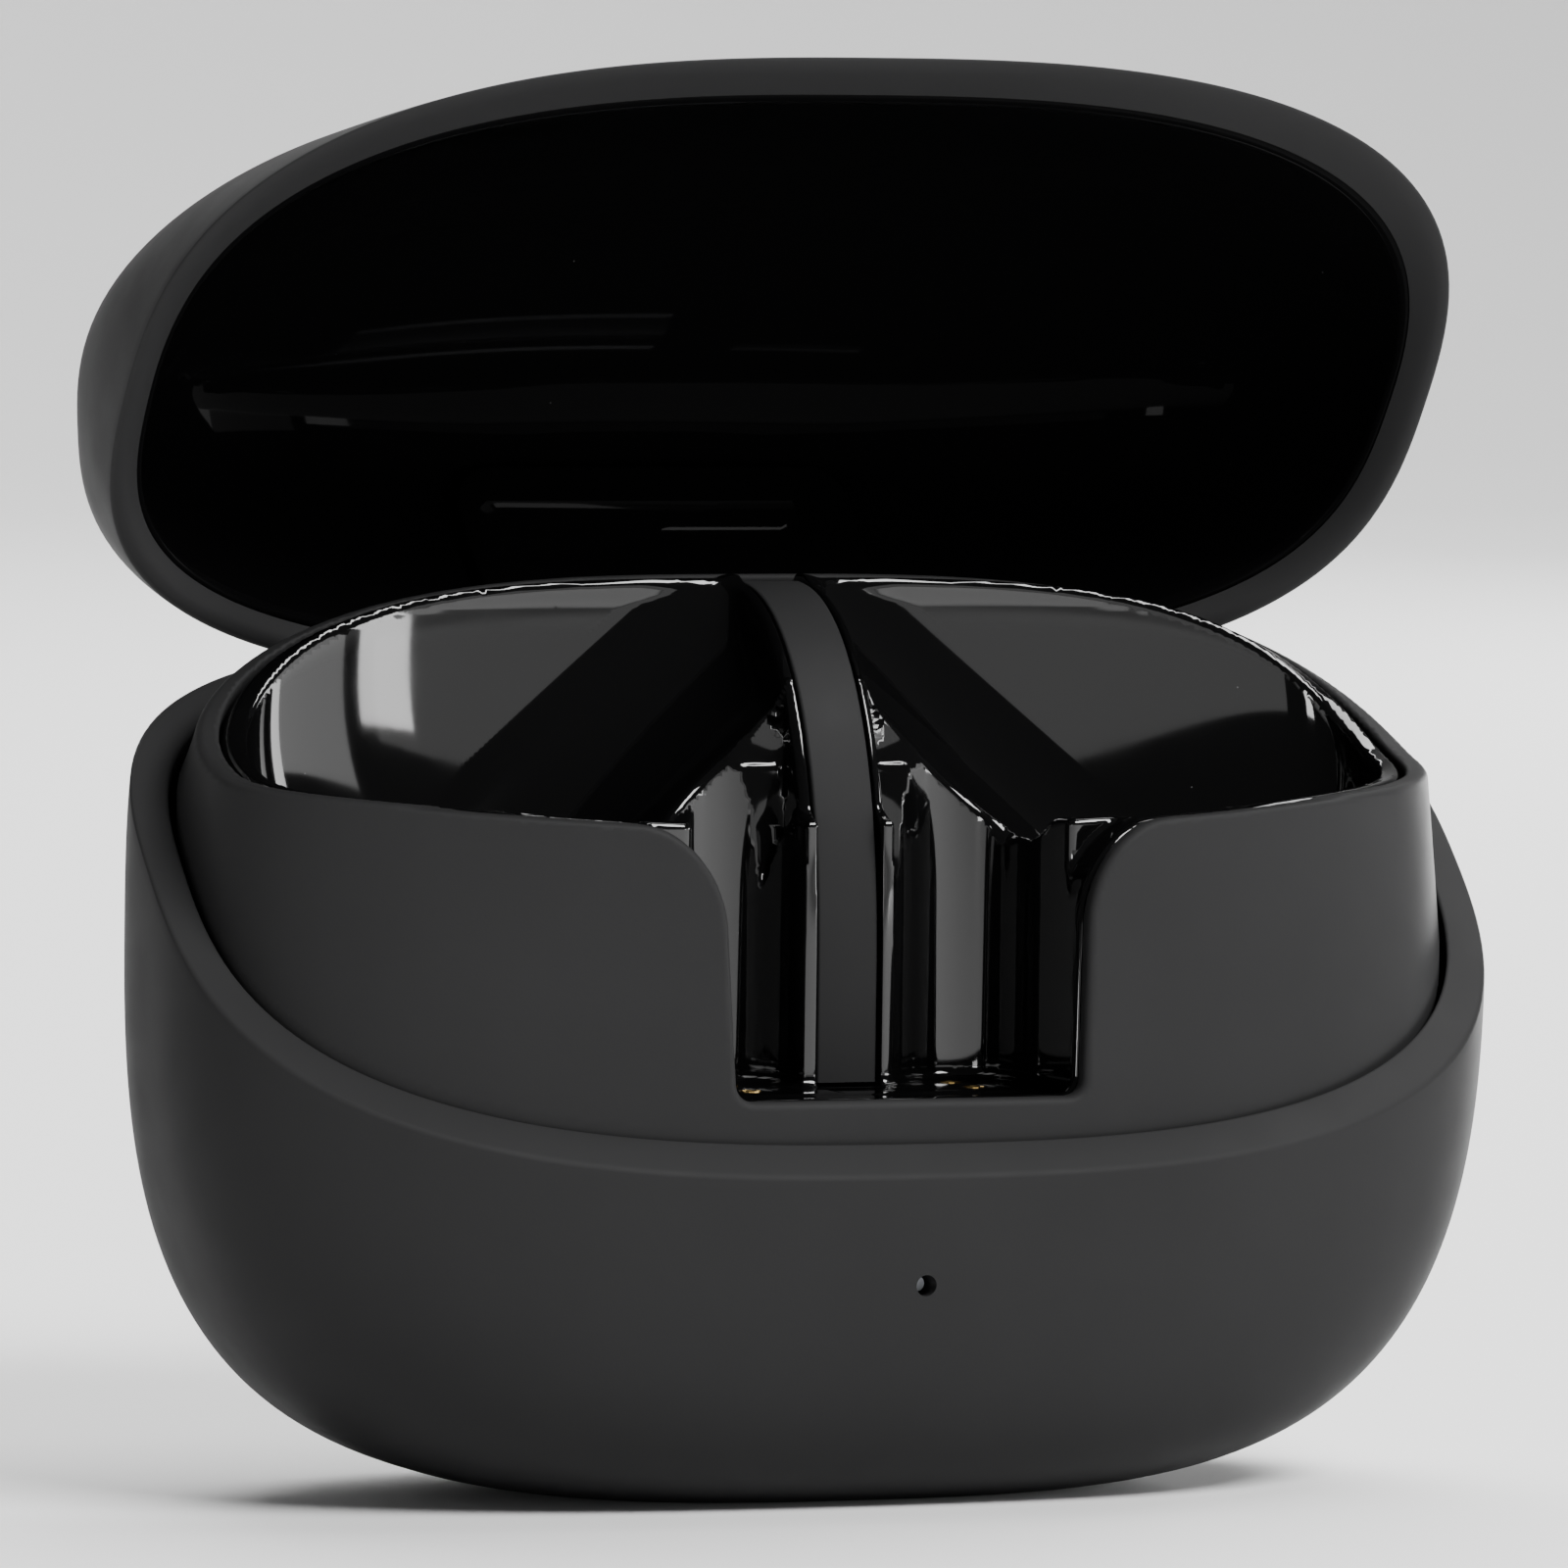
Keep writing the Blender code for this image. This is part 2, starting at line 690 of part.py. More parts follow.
def cradle_liner():
    rows = rim_lowered(cradle_block(FRAME_WALL + LINER_GAP, CRADLE_BOTTOM), 0.15)
    liner = add_piece("cradle_liner", loft(rows), "gloss_black")
    rib = [(RIB_PROFILE[0][0], CRADLE_BOTTOM + 0.5)] + list(RIB_PROFILE[1:])
    rib += [(RIB_PROFILE[-1][0], CRADLE_BOTTOM + 0.5)]
    boolean(liner, cutter("join_rib", prism_x(rib, -RIB_HALF, RIB_HALF)), "UNION")
    inside_inset = FRAME_WALL + LINER_GAP + CRADLE_WALL
    cuts = [
        cutter("cut_notch_liner", notch_block(0.02)),
        cutter("cut_finger_room", finger_room()),
        cutter("cut_strip_channel", strip_channel()),
        cutter("cut_rear_pocket", box((-8.4, 0.6, 15.0), (8.4, 4.6, 26.0))),
    ]
    for side, name in ((-1, "left"), (1, "right")):
        inside = cutter(f"inside_{name}", loft(cradle_block(inside_inset, CRADLE_BOTTOM + 1.2, 6.0)))
        bowl = cutter(f"bowl_{name}", loft(well_rings(side, 0.0)))
        boolean(bowl, inside, "INTERSECT")
        pocket = cutter(f"pocket_{name}", side_pocket(side))
        boolean(pocket, cutter(f"keep_bowl_{name}", loft(well_rings(side, WELL_WALL))))
        cuts += [bowl, pocket, cutter(f"cut_slot_{name}", slot_block(side))]
        for k, y in enumerate(PIN_Y):
            low, high = (side * SLOT_X, y, 15.0), (side * SLOT_X, y, 19.0)
            hole = rod(low, high, CHARGE_PIN_R + CHARGE_PIN_CLEARANCE, 12)
            cuts.append(cutter(f"cut_pin_{name}_{k}", hole))
    boolean_all(liner, cuts)
    return liner


def well_rings(side, grow):
    """A bowl for a bud's head: steep outside, a long slope towards the stem slot inside."""
    rings = []
    heights = [0.12, 0.8, 2.2, 4.4, 7.5, 11.5, WELL_INNER_RISE, 24.0]
    for height in heights:
        z = WELL_BOTTOM + height - grow
        inner = WELL_X - WELL_INNER * min(1.0, (height + 0.8) / (WELL_INNER_RISE + 0.8)) - grow
        outer = WELL_X + WELL_OUTER * spread(height, 9.0) + grow
        front = WELL_Y - WELL_FRONT * spread(height, 8.0) - grow
        rear = WELL_Y + WELL_REAR * spread(height, 14.0) + grow
        middle = ((inner + outer) / 2, (front + rear) / 2)
        half = ((outer - inner) / 2, (rear - front) / 2)
        ring = []
        for k in range(28):
            a = 2 * math.pi * (k + 0.5) / 28
            x = middle[0] + half[0] * signed_power(math.cos(a), 2.6)
            y = middle[1] + half[1] * signed_power(math.sin(a), 2.6)
            ring.append((side * x, y, z))
        rings.append(ring)
    return rings


def spread(height, full):
    t = min(1.0, height / full)
    return (1 - (1 - t) ** 2.2) ** (1 / 2.2)


def slot_block(side):
    """A stem slot: a round-backed upright channel, flared a little towards the front."""
    back = SLOT_BACK_Y - SLOT_R
    outline = [(SLOT_X + SLOT_R + 0.45, -8.9)]
    outline += arc((SLOT_X, back), SLOT_R, 0, 180, 10)
    outline += [(SLOT_X - SLOT_R - 0.05, -8.9)]
    points = [(side * x, y) for x, y in outline]
    return loft([[(x, y, z) for x, y in points] for z in (SLOT_FLOOR, 37.5)])


def finger_room():
    """Clears the space in front of the rib and everything above its curved top."""
    outline = [(-12.0, SLOT_FLOOR), (RIB_PROFILE[0][0], SLOT_FLOOR)] + list(RIB_PROFILE[1:-1])
    outline += [(RIB_PROFILE[-2][0], 46.0), (-12.0, 46.0)]
    return prism_x(outline, -RIB_HALF - 0.25, RIB_HALF + 0.25)


def strip_channel():
    """The seat of the matte strip along the front and top of the rib."""
    path = [(RIB_PROFILE[0][0], SLOT_FLOOR - 0.4)] + list(RIB_PROFILE[1:-1])
    seat = offset_path(path, -STRIP_THICK - LOOSE)
    front = offset_path(path, 0.5)
    return prism_x(front + seat[::-1], -STRIP_HALF - 0.25, STRIP_HALF + 0.25)


def divider_strip():
    path = [(RIB_PROFILE[0][0], SLOT_FLOOR + LOOSE)] + list(RIB_PROFILE[1:-2])
    return add_piece(
        "divider_strip", prism_x(band(path, -STRIP_THICK), -STRIP_HALF, STRIP_HALF), "soft_touch"
    )


def side_pocket(side):
    low, high = sorted((side * 9.7, side * 24.6))
    return box((low, -7.6, 15.0), (high, 4.6, 27.0))


# Electronics


def usb_receptacle():
    low = (-USB_HALF_WIDTH, 5.2, USB_Z - USB_HALF_HEIGHT)
    high = (USB_HALF_WIDTH, 5.2 + USB_LENGTH, USB_Z + USB_HALF_HEIGHT)
    shell = add_piece("usb_receptacle", stadium_block(low, high), "nickel")
    inner_low = (low[0] + USB_WALL, low[1] + 1.0, low[2] + USB_WALL)
    inner_high = (high[0] - USB_WALL, high[1] + 1.0, high[2] - USB_WALL)
    boolean(shell, cutter("cut_usb_inside", stadium_block(inner_low, inner_high)))
    tongue = box((-3.3, low[1] + 0.5, USB_Z - 0.35), (3.3, high[1] - 0.8, USB_Z + 0.35))
    boolean(shell, cutter("join_usb_tongue", tongue), "UNION")
    return shell


def pairing_button():
    """A round cap in the back, flush with the skin, with a collar that keeps it in."""
    face_y = half_sizes(BUTTON_Z)[1] - 0.1
    origin = (0.0, face_y, BUTTON_Z)
    cap = rod((0, face_y - 2.6, BUTTON_Z), (0, face_y, BUTTON_Z), BUTTON_R, 24)
    bmesh.ops.bevel(
        cap,
        geom=[e for e in cap.edges if all(v.co.y > face_y - 0.01 for v in e.verts)],
        offset=0.25,
        segments=2,
        affect="EDGES",
        profile=0.5,
    )
    button = add_piece("pairing_button", cap, "soft_touch", origin)
    collar = rod((0, face_y - 2.8, BUTTON_Z), (0, face_y - 2.1, BUTTON_Z), BUTTON_R + 0.8, 24)
    boolean(button, cutter("join_button_collar", collar), "UNION")
    return button


def electronics():
    low = [c - s / 2 for c, s in zip(BATTERY_CENTRE, BATTERY)]
    high = [c + s / 2 for c, s in zip(BATTERY_CENTRE, BATTERY)]
    add_piece("battery_cell", rounded_box(low, high, 1.2), "cell_wrap")
    pad_top = low[2] - LOOSE
    add_piece("battery_foam_pad", box((-9, -5.5, pad_top - 0.6), (9, 2.2, pad_top)), "foam")
    board = add_piece("main_board", board_plate(), "board_green")
    boolean(board, cutter("cut_board_lead", box((12.2, -3.4, 9), (14.6, -1.4, 13))))
    usb_receptacle()
    controller = rounded_box((-12.5, -1.5, 11.6), (-7.5, 3.5, 12.6), 0.15, 1)
    add_piece("charge_controller", controller, "ink_black")
    add_piece("hall_sensor", box((17.0, 2.2, 11.6), (19.0, 3.8, 12.3)), "ink_black")
    add_piece("status_led", box((-0.8, -8.8, 9.7), (0.8, -7.7, 10.3)), "light_pipe")
    light_pipe()
    face_y = half_sizes(BUTTON_Z)[1] - 0.1
    switch_y = face_y - 2.8 - BUTTON_TRAVEL - 0.15
    body = box((-1.6, switch_y - 1.7, BUTTON_Z - 1.3), (1.6, switch_y - 0.6, BUTTON_Z + 1.3))
    switch = add_piece("tact_switch", body, "ink_black")
    plunger = rod((0, switch_y - 1.0, BUTTON_Z), (0, switch_y, BUTTON_Z), 0.6, 12)
    boolean(switch, cutter("join_plunger", plunger), "UNION")
    board_back = switch_y - 1.7 - LOOSE
    small_board = box((-3.0, board_back - 0.6, 17.2), (3.0, board_back, BUTTON_Z + 3.0))
    add_piece("button_board", small_board, "board_green")
    battery_leads(high[0])


def board_plate():
    outline = rounded_outline((-17.0, -9.0), (19.5, 8.4), 3.5)
    return loft([[(x, y, z) for x, y in outline] for z in BOARD_Z])


def rounded_outline(low, high, radius):
    corners = (
        (high[0], low[1], -90),
        (high[0], high[1], 0),
        (low[0], high[1], 90),
        (low[0], low[1], 180),
    )
    outline = []
    for x, y, start in corners:
        centre = (x - math.copysign(radius, x), y - math.copysign(radius, y))
        outline += arc(centre, radius, start, start + 90, 4)
    return outline


def light_pipe():
    """Carries the light from the lamp under the board's front edge out to the hole in the shell."""
    pipe = add_piece("light_pipe", rod((0, -12.0, LED_Z), (0, -9.3, LED_Z), 0.34, 12), "light_pipe")
    collar = box((-0.8, -10.0, LED_Z - 0.6), (0.8, -9.1, LED_Z + 0.6))
    boolean(pipe, cutter("join_light_collar", collar), "UNION")
    return pipe


def battery_leads(cell_end):
    """Two short leads from the end of the cell up to the board."""
    low, high, bend = 7.0, 10.3, 0.9
    leads = (("battery_lead_red", -2.0, "lead_red"), ("battery_lead_black", -2.9, "ink_black"))
    for name, y, finish in leads:
        x = cell_end + 0.6
        points = [(cell_end + 0.3, y, low)]
        points += [(px, y, pz) for px, pz in arc((x, low + bend), bend, -90, 0, 4)]
        points.append((x + bend, y, high))
        wire(name, points, 0.3, finish)


def charge_contacts():
    """Sprung charging pins in the floor of each stem slot, on a block that a flex strip feeds."""
    for side, name in ((-1, "left"), (1, "right")):
        x = side * SLOT_X
        block = box((x - 1.6, PIN_Y[0] - 1.2, 13.2), (x + 1.6, PIN_Y[1] + 1.2, 15.7))
        holder = add_piece(f"pin_block_{name}", block, "black_plastic")
        for k, y in enumerate(PIN_Y):
            top = SLOT_FLOOR - CHARGE_PIN_RECESS
            pin = rod((x, y, 14.4), (x, y, top), CHARGE_PIN_R, 12)
            bmesh.ops.bevel(
                pin,
                geom=[e for e in pin.edges if all(v.co.z > top - 0.01 for v in e.verts)],
                offset=0.15,
                segments=1,
                affect="EDGES",
            )
            place = "front" if k == 0 else "rear"
            add_piece(f"charge_pin_{name}_{place}", pin, "gold", origin=(x, y, top))
            bore = rod((x, y, 13.8), (x, y, 17.0), CHARGE_PIN_R + CHARGE_PIN_CLEARANCE, 12)
            boolean(holder, cutter(f"cut_block_{name}_{place}", bore))
        flex = box((x - 1.2, PIN_Y[0] - 0.6, 12.7), (x + 1.2, PIN_Y[1] + 0.6, 12.9))
        add_piece(f"contact_flex_{name}", flex, "flex_amber")


def magnets():
    """Discs under the wells hold the buds; bars in the base and above the lid's liner hold it shut."""
    for side, name in ((-1, "left"), (1, "right")):
        x = side * WELL_X
        low = WELL_BOTTOM - WELL_WALL - LOOSE - MAGNET_THICK - 0.2
        disc = rod((x, WELL_Y, low), (x, WELL_Y, low + MAGNET_THICK), MAGNET_R, 20)
        add_piece(f"bud_magnet_{name}", disc, "nickel")
        near, far = sorted((side * 26.65, side * 27.4))
        add_piece(f"closure_magnet_{name}", box((near, -2.2, 17.0), (far, 2.2, 20.2)), "nickel")
        lid_bar = box((side * 11.8 - 2.0, -1.5, 44.65), (side * 11.8 + 2.0, 1.5, 45.2))
        add_lid_piece(f"lid_magnet_{name}", lid_bar, "nickel")


def main():
    clear_scene()
    base_shell()
    lid_shell()
    lid_liner()
    hinge_arm()
    hinge_cover()
    hinge_bracket()
    hinge_pin()
    cradle_frame()
    cradle_liner()
    divider_strip()
    electronics()
    charge_contacts()
    pairing_button()
    magnets()
    for side, name in ((-1, "left"), (1, "right")):
        hinge_spring(f"hinge_spring_{name}", side)
        bracket_screw(f"bracket_screw_{name}", side)


main()
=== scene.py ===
"""Looks for the wireless earbuds case: smooth shells, a gloss cradle, plastics, studio light and camera.

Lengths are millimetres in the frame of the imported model, and to_mesh() turns them into metres.
"""

import json
import math

import bmesh
import bpy
import numpy as np
from mathutils import Matrix, Vector


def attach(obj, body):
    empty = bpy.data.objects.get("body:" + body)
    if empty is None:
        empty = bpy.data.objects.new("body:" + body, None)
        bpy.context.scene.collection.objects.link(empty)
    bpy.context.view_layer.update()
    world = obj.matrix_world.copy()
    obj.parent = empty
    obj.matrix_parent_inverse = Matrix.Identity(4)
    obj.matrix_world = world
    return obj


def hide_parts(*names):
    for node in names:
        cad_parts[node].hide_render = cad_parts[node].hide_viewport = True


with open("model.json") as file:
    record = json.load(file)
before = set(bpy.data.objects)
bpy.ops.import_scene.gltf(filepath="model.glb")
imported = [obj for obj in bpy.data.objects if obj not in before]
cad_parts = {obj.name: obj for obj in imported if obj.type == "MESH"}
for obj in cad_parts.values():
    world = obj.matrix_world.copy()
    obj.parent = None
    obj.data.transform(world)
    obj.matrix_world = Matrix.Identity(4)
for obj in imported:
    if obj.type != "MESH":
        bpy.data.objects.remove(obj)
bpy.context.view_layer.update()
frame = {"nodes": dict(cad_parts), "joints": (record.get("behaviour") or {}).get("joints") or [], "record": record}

MM = 0.001
HINGE = next(joint for joint in frame["joints"] if joint["name"] == "lid_hinge")
HINGE_Y = HINGE["pos_m"][1] / MM
HINGE_Z = HINGE["pos_m"][2] / MM
OPEN_ANGLE = HINGE["range_deg"][1]

# The closed pebble, as in the CAD
HALF_WIDTH = 30.0
HALF_DEPTH = 13.4
EQUATOR_Z = 24.8
LOWER_DEPTH = 25.0
UPPER_HEIGHT = 22.3
PLAN_POWER = 2.7
SIDE_POWERS = (2.93, 3.75)
LOWER_POWER = 4.5
UPPER_POWER = 1.92
SHORT_OF_POLE = 0.99995
PARTING = (26.8, 0.94, -0.0056, -0.0005)
PARTING_GAP = 0.3

# Walls and lips
BASE_WALL = 1.6
LIP_R = 0.2
INNER_LIP_R = 0.18
END_MARGIN = 0.02
LID_WALL = 0.9
LID_LIP_FLAT = 0.4
LID_LIP_INSET = 1.36
LID_LIP_RISE = 1.0
LINER_RISE = 1.1
LINER_GAP = 0.2
LID_LINER_WALL = 0.55
LID_CEILING_INSET = 3.1
CEILING_POWER = 2.0
GROOVE = 0.3
FRAME_WALL = 1.0
FRAME_SKIRT = 1.3
CRADLE_WALL = 0.8

# Cradle rim
RIM_HALF_WIDTH = 27.6
RIM_CENTRE_Y = -1.23
RIM_FRONT = 9.76
RIM_REAR = 8.75
RIM_FRONT_POWER = 2.12
RIM_REAR_POWER = 3.1
RIM_HEIGHT = (31.28, 0.409, 0.05, 0.0031)
REAR_SQUEEZE = 0.22
CRADLE_BOTTOM = 16.1

# Slots, notch, rib and wells
SLOT_FLOOR = 17.34
SLOT_X = 5.1
SLOT_R = 3.1
SLOT_CENTRE_Y = -4.1
SLOT_FLARE = 0.1
NOTCH_HALF_WIDTH = 7.81
NOTCH_TAPER = 0.045
NOTCH_CORNER_R = 0.7
NOTCH_SHOULDER_R = 4.0
NOTCH_DEPTH_Y = -7.6
RIB_HALF = 1.95
RIB_CENTRE = (6.1, 22.0)
RIB_SIZE = (10.1, 16.3)
RIB_POWER = 2.25
STRIP_HALF = 1.35
STRIP_THICK = 0.5
STRIP_LIFT = 0.15
STRIP_END_Y = 5.4
WELL_FLOOR = 19.4
WELL_SLOPE = 0.9
WELL_SLOPE_START = 17.7
WELL_SOFTNESS = 1.6
WELL_FILLET = 6.0
BOWL_DEPTH = 14.5

# Roundings of the cradle
EDGE_R = 0.3
FOOT_R = 0.2
SLOT_CORNER_R = 0.45
NOTCH_EDGE_R = 0.35
ROOM_EDGE_R = 0.28
RIB_EDGE_R = 0.5
RIB_FOOT_R = 0.6
SEAT_SIDE_GAP = 0.12
SEAT_BACK_GAP = 0.25

# Outside details
LED_Z = 9.7
LED_HOLE_R = 0.45
USB_Z = 13.2
USB_HALF_WIDTH = 4.47
USB_HALF_HEIGHT = 1.58
USB_CLEARANCE = 0.25
BUTTON_Z = 21.5
BUTTON_R = 2.0
BUTTON_CLEARANCE = 0.3
BUTTON_DEPTH = 2.6
BUTTON_EDGE_R = 0.25
BUTTON_SUNK = 0.1
REAR_CUT_Y = 9.0
FAR_Y = 17.0
LEAN_HALF_WIDTH = 20.0
HINGE_COVER_HALF = 9.3

# Room for the hinge
HINGE_ROOM_R = 1.8
HINGE_ROOM_HALF = 15.3
WEB_X = 12.2
WEB_HALF = 2.7
WEB_FRONT_Y = 7.6
WEB_Z = 32.25
WEB_HALF_HEIGHT = 4.25

COLUMNS = 288


# Shape of the pebble, on arrays


def signed_power(value, power):
    return np.sign(value) * np.abs(value) ** (2 / power)


def polynomial(terms, y):
    return sum(term * y**k for k, term in enumerate(terms))


def slope_of(terms, y):
    return sum(k * term * y ** (k - 1) for k, term in enumerate(terms) if k)


def half_sizes(z, inset=0.0, top_inset=None, upper_power=UPPER_POWER):
    """Half width and half depth of the skin at a height, set in from the outside."""
    side, end = SIDE_POWERS
    top_inset = inset if top_inset is None else top_inset
    z = np.asarray(z, float)
    low = z < EQUATOR_Z
    down = (EQUATOR_Z - z) / (LOWER_DEPTH - inset)
    up = (z - EQUATOR_Z) / (UPPER_HEIGHT - top_inset)
    t = np.clip(np.where(low, down, up), 0.0, SHORT_OF_POLE)
    power = np.where(low, LOWER_POWER, upper_power)
    half_x = (HALF_WIDTH - inset) * (1 - t**side) ** (1 / end)
    half_y = (HALF_DEPTH - inset) * (1 - t**power) ** (1 / power)
    return half_x, half_y


def even_angles(count):
    """Angles that space points evenly along the widest section."""
    dense = np.linspace(0, 2 * math.pi, 20001)
    x = HALF_WIDTH * signed_power(np.cos(dense), PLAN_POWER)
    y = HALF_DEPTH * signed_power(np.sin(dense), PLAN_POWER)
    run = np.concatenate([[0], np.cumsum(np.hypot(np.diff(x), np.diff(y)))])
    return np.interp((np.arange(count) + 0.5) / count * run[-1], run, dense)


ANGLES = even_angles(COLUMNS)


def skin_ring(z, inset=0.0, **shape):
    half_x, half_y = half_sizes(z, inset, **shape)
    x = half_x * signed_power(np.cos(ANGLES), PLAN_POWER)
    y = half_y * signed_power(np.sin(ANGLES), PLAN_POWER)
    return np.stack([x, y, np.broadcast_to(z, x.shape)], axis=1)


def parting_heights(inset, gap):
    """Height of the parting surface, moved by a gap, on the skin at an inset."""
    low, high = np.full(COLUMNS, 8.0), np.full(COLUMNS, 43.0)
    for _ in range(40):
        z = (low + high) / 2
        above = z < polynomial(PARTING, skin_ring(z, inset)[:, 1]) + gap
        low, high = np.where(above, z, low), np.where(above, high, z)
    return low


def edge_ring(inset, gap):
    """A ring on the parting surface, moved up or down by a gap."""
    return skin_ring(parting_heights(inset, gap), inset)


# Meshes


def to_mesh(name, points, faces, normals=None):
    """A shaded object from points in millimetres."""
    mesh = bpy.data.meshes.new(name)
    mesh.from_pydata((np.asarray(points) * MM).tolist(), [], faces)
    mesh.shade_smooth()
    if normals is not None:
        mesh.normals_split_custom_set_from_vertices(normals.tolist())
    piece = bpy.data.objects.new(name, mesh)
    bpy.context.scene.collection.objects.link(piece)
    return piece


def loft(name, rings):
    """A closed body through rings of equal length, with flat ends."""
    count = len(rings[0])
    points = np.concatenate(rings)
    faces = []
    for k in range(len(rings) - 1):
        for i in range(count):
            j = (i + 1) % count
            faces.append((k * count + i, k * count + j, (k + 1) * count + j, (k + 1) * count + i))
    faces.append(tuple(reversed(range(count))))
    last = (len(rings) - 1) * count
    faces.append(tuple(range(last, last + count)))
    return to_mesh(name, points, faces)


def turned_open(points):
    """Lid points from the closed place to the open one."""
    turn = math.radians(OPEN_ANGLE)
    y, z = points[:, 1] - HINGE_Y, points[:, 2] - HINGE_Z
    out = points.copy()
    out[:, 1] = HINGE_Y + y * math.cos(turn) + z * math.sin(turn)
    out[:, 2] = HINGE_Z - y * math.sin(turn) + z * math.cos(turn)
    return out


def cut(piece, tool):
    step = piece.modifiers.new(tool.name, "BOOLEAN")
    step.operation = "DIFFERENCE"
    step.solver = "EXACT"
    step.object = tool


def apply_all(piece, sharp_angle=38):
    """Turns the modifiers into mesh, removes the cutters and marks the sharp edges."""
    tools = [step.object for step in piece.modifiers if step.type == "BOOLEAN"]
    done = bpy.data.meshes.new_from_object(piece.evaluated_get(bpy.context.evaluated_depsgraph_get()))
    piece.modifiers.clear()
    piece.data = done
    for tool in tools:
        bpy.data.objects.remove(tool)
    done.shade_smooth()
    done.set_sharp_from_angle(angle=math.radians(sharp_angle))


def rod(name, start, end, radius, sides=48, rounding=0.0):
    """A round bar between two points, its far end rounded."""
    start, end = Vector(start), Vector(end)
    length = (end - start).length
    turn = (end - start).to_track_quat("Z", "Y").to_matrix()
    stations = [(0.0, radius)]
    steps = 6 if rounding else 0
    for k in range(steps + 1):
        a = math.pi / 2 * k / max(steps, 1)
        height = length - rounding + rounding * math.sin(a)
        stations.append((height, radius - rounding + rounding * math.cos(a)))
    rings = []
    for height, reach in stations:
        ring = [
            start + turn @ Vector((reach * math.cos(b), reach * math.sin(b), height))
            for b in (2 * math.pi * i / sides for i in range(sides))
        ]
        rings.append(np.array(ring))
    return loft(name, rings)


def prism(name, outline, axis, low, high):
    """An outline extruded along X from (y, z) points, or along Y from (x, z) points."""
    rings = []
    for level in (low, high):
        ring = [(level, a, b) if axis == "X" else (a, level, b) for a, b in outline]
        rings.append(np.array(ring))
    piece = loft(name, rings)
    face_out(piece)
    return piece


def stadium(half_width, half_height, middle_z, steps=20):
    """An (x, z) outline with round ends."""
    reach = half_width - half_height
    outline = []
    for side, start in ((1, -90), (-1, 90)):
        for k in range(steps + 1):
            a = math.radians(start + 180 * k / steps)
            x = side * reach + half_height * math.cos(a)
            outline.append((x, middle_z + half_height * math.sin(a)))
    return outline


def face_out(piece):
    """Turns every face of a closed mesh outwards."""
    data = bmesh.new()
    data.from_mesh(piece.data)
    data.normal_update()
    bmesh.ops.recalc_face_normals(data, faces=data.faces)
    if data.calc_volume(signed=True) < 0:
        bmesh.ops.reverse_faces(data, faces=data.faces)
    data.to_mesh(piece.data)
    data.free()


# Outer shells


def quarter(steps):
    """Shares (away, up) of a quarter round, from the wall to the edge."""
    angles = [math.pi / 2 * k / steps for k in range(steps + 1)]
    return [(1 - math.cos(a), 1 - math.sin(a)) for a in angles]


def base_shell():
    """The lower half: the outside, the rounded lip on the parting surface and the inside."""
    gap = -PARTING_GAP / 2
    rows = 60
    foot = parting_heights(0.0, gap - LIP_R)
    rings = [skin_ring(foot * (1 - math.cos(math.pi / 2 * k / rows))) for k in range(rows)]
    rings += [edge_ring(LIP_R * away, gap - LIP_R * up) for away, up in quarter(6)]
    rings.append(edge_ring(BASE_WALL / 2, gap))
    for away, up in reversed(quarter(5)):
        rings.append(edge_ring(BASE_WALL - INNER_LIP_R * away, gap - INNER_LIP_R * up))
    low = parting_heights(BASE_WALL, gap - INNER_LIP_R)
    for k in range(1, 12):
        height = low + (BASE_WALL + END_MARGIN - low) * (k / 11) ** 1.5
        rings.append(skin_ring(height, BASE_WALL))
    shell = loft("base_shell_skin", rings)
    face_out(shell)
    cut(shell, barrel_room())
    cut(shell, prism("cut_lean_back", lean_back_outline(), "X", -LEAN_HALF_WIDTH, LEAN_HALF_WIDTH))
    cut(shell, rod("cut_led", (0, -FAR_Y, LED_Z), (0, -8, LED_Z), LED_HOLE_R))
    usb_hole = stadium(USB_HALF_WIDTH + USB_CLEARANCE, USB_HALF_HEIGHT + USB_CLEARANCE, USB_Z)
    cut(shell, prism("cut_usb", usb_hole, "Y", REAR_CUT_Y, FAR_Y))
    button_hole_r = BUTTON_R + BUTTON_CLEARANCE
    cut(shell, rod("cut_button", (0, REAR_CUT_Y, BUTTON_Z), (0, FAR_Y, BUTTON_Z), button_hole_r))
    apply_all(shell)
    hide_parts("base_shell")
    return shell


def barrel_room():
    ends = [(side * HINGE_ROOM_HALF, HINGE_Y, HINGE_Z) for side in (-1, 1)]
    return rod("cut_barrel", ends[0], ends[1], HINGE_ROOM_R)


def lean_back_outline():
    """The room that the opened lid's rear edge needs, as in the CAD."""
    clear = 0.3
    slope = slope_of(PARTING, HINGE_Y)
    offset = polynomial(PARTING, HINGE_Y) - HINGE_Z
    cos, sin = math.cos(math.radians(OPEN_ANGLE)), math.sin(math.radians(OPEN_ANGLE))
    point = np.array([offset * sin, offset * cos])
    along = np.array([cos + slope * sin, slope * cos - sin])
    along /= np.linalg.norm(along)
    start = point + clear * np.array([along[1], -along[0]])
    corners = [start - 1.2 * along, start + 4.6 * along]
    corners += [np.array([6.0, corners[1][1]]), np.array([6.0, corners[0][1]])]
    return [(HINGE_Y + y, HINGE_Z + z) for y, z in corners]


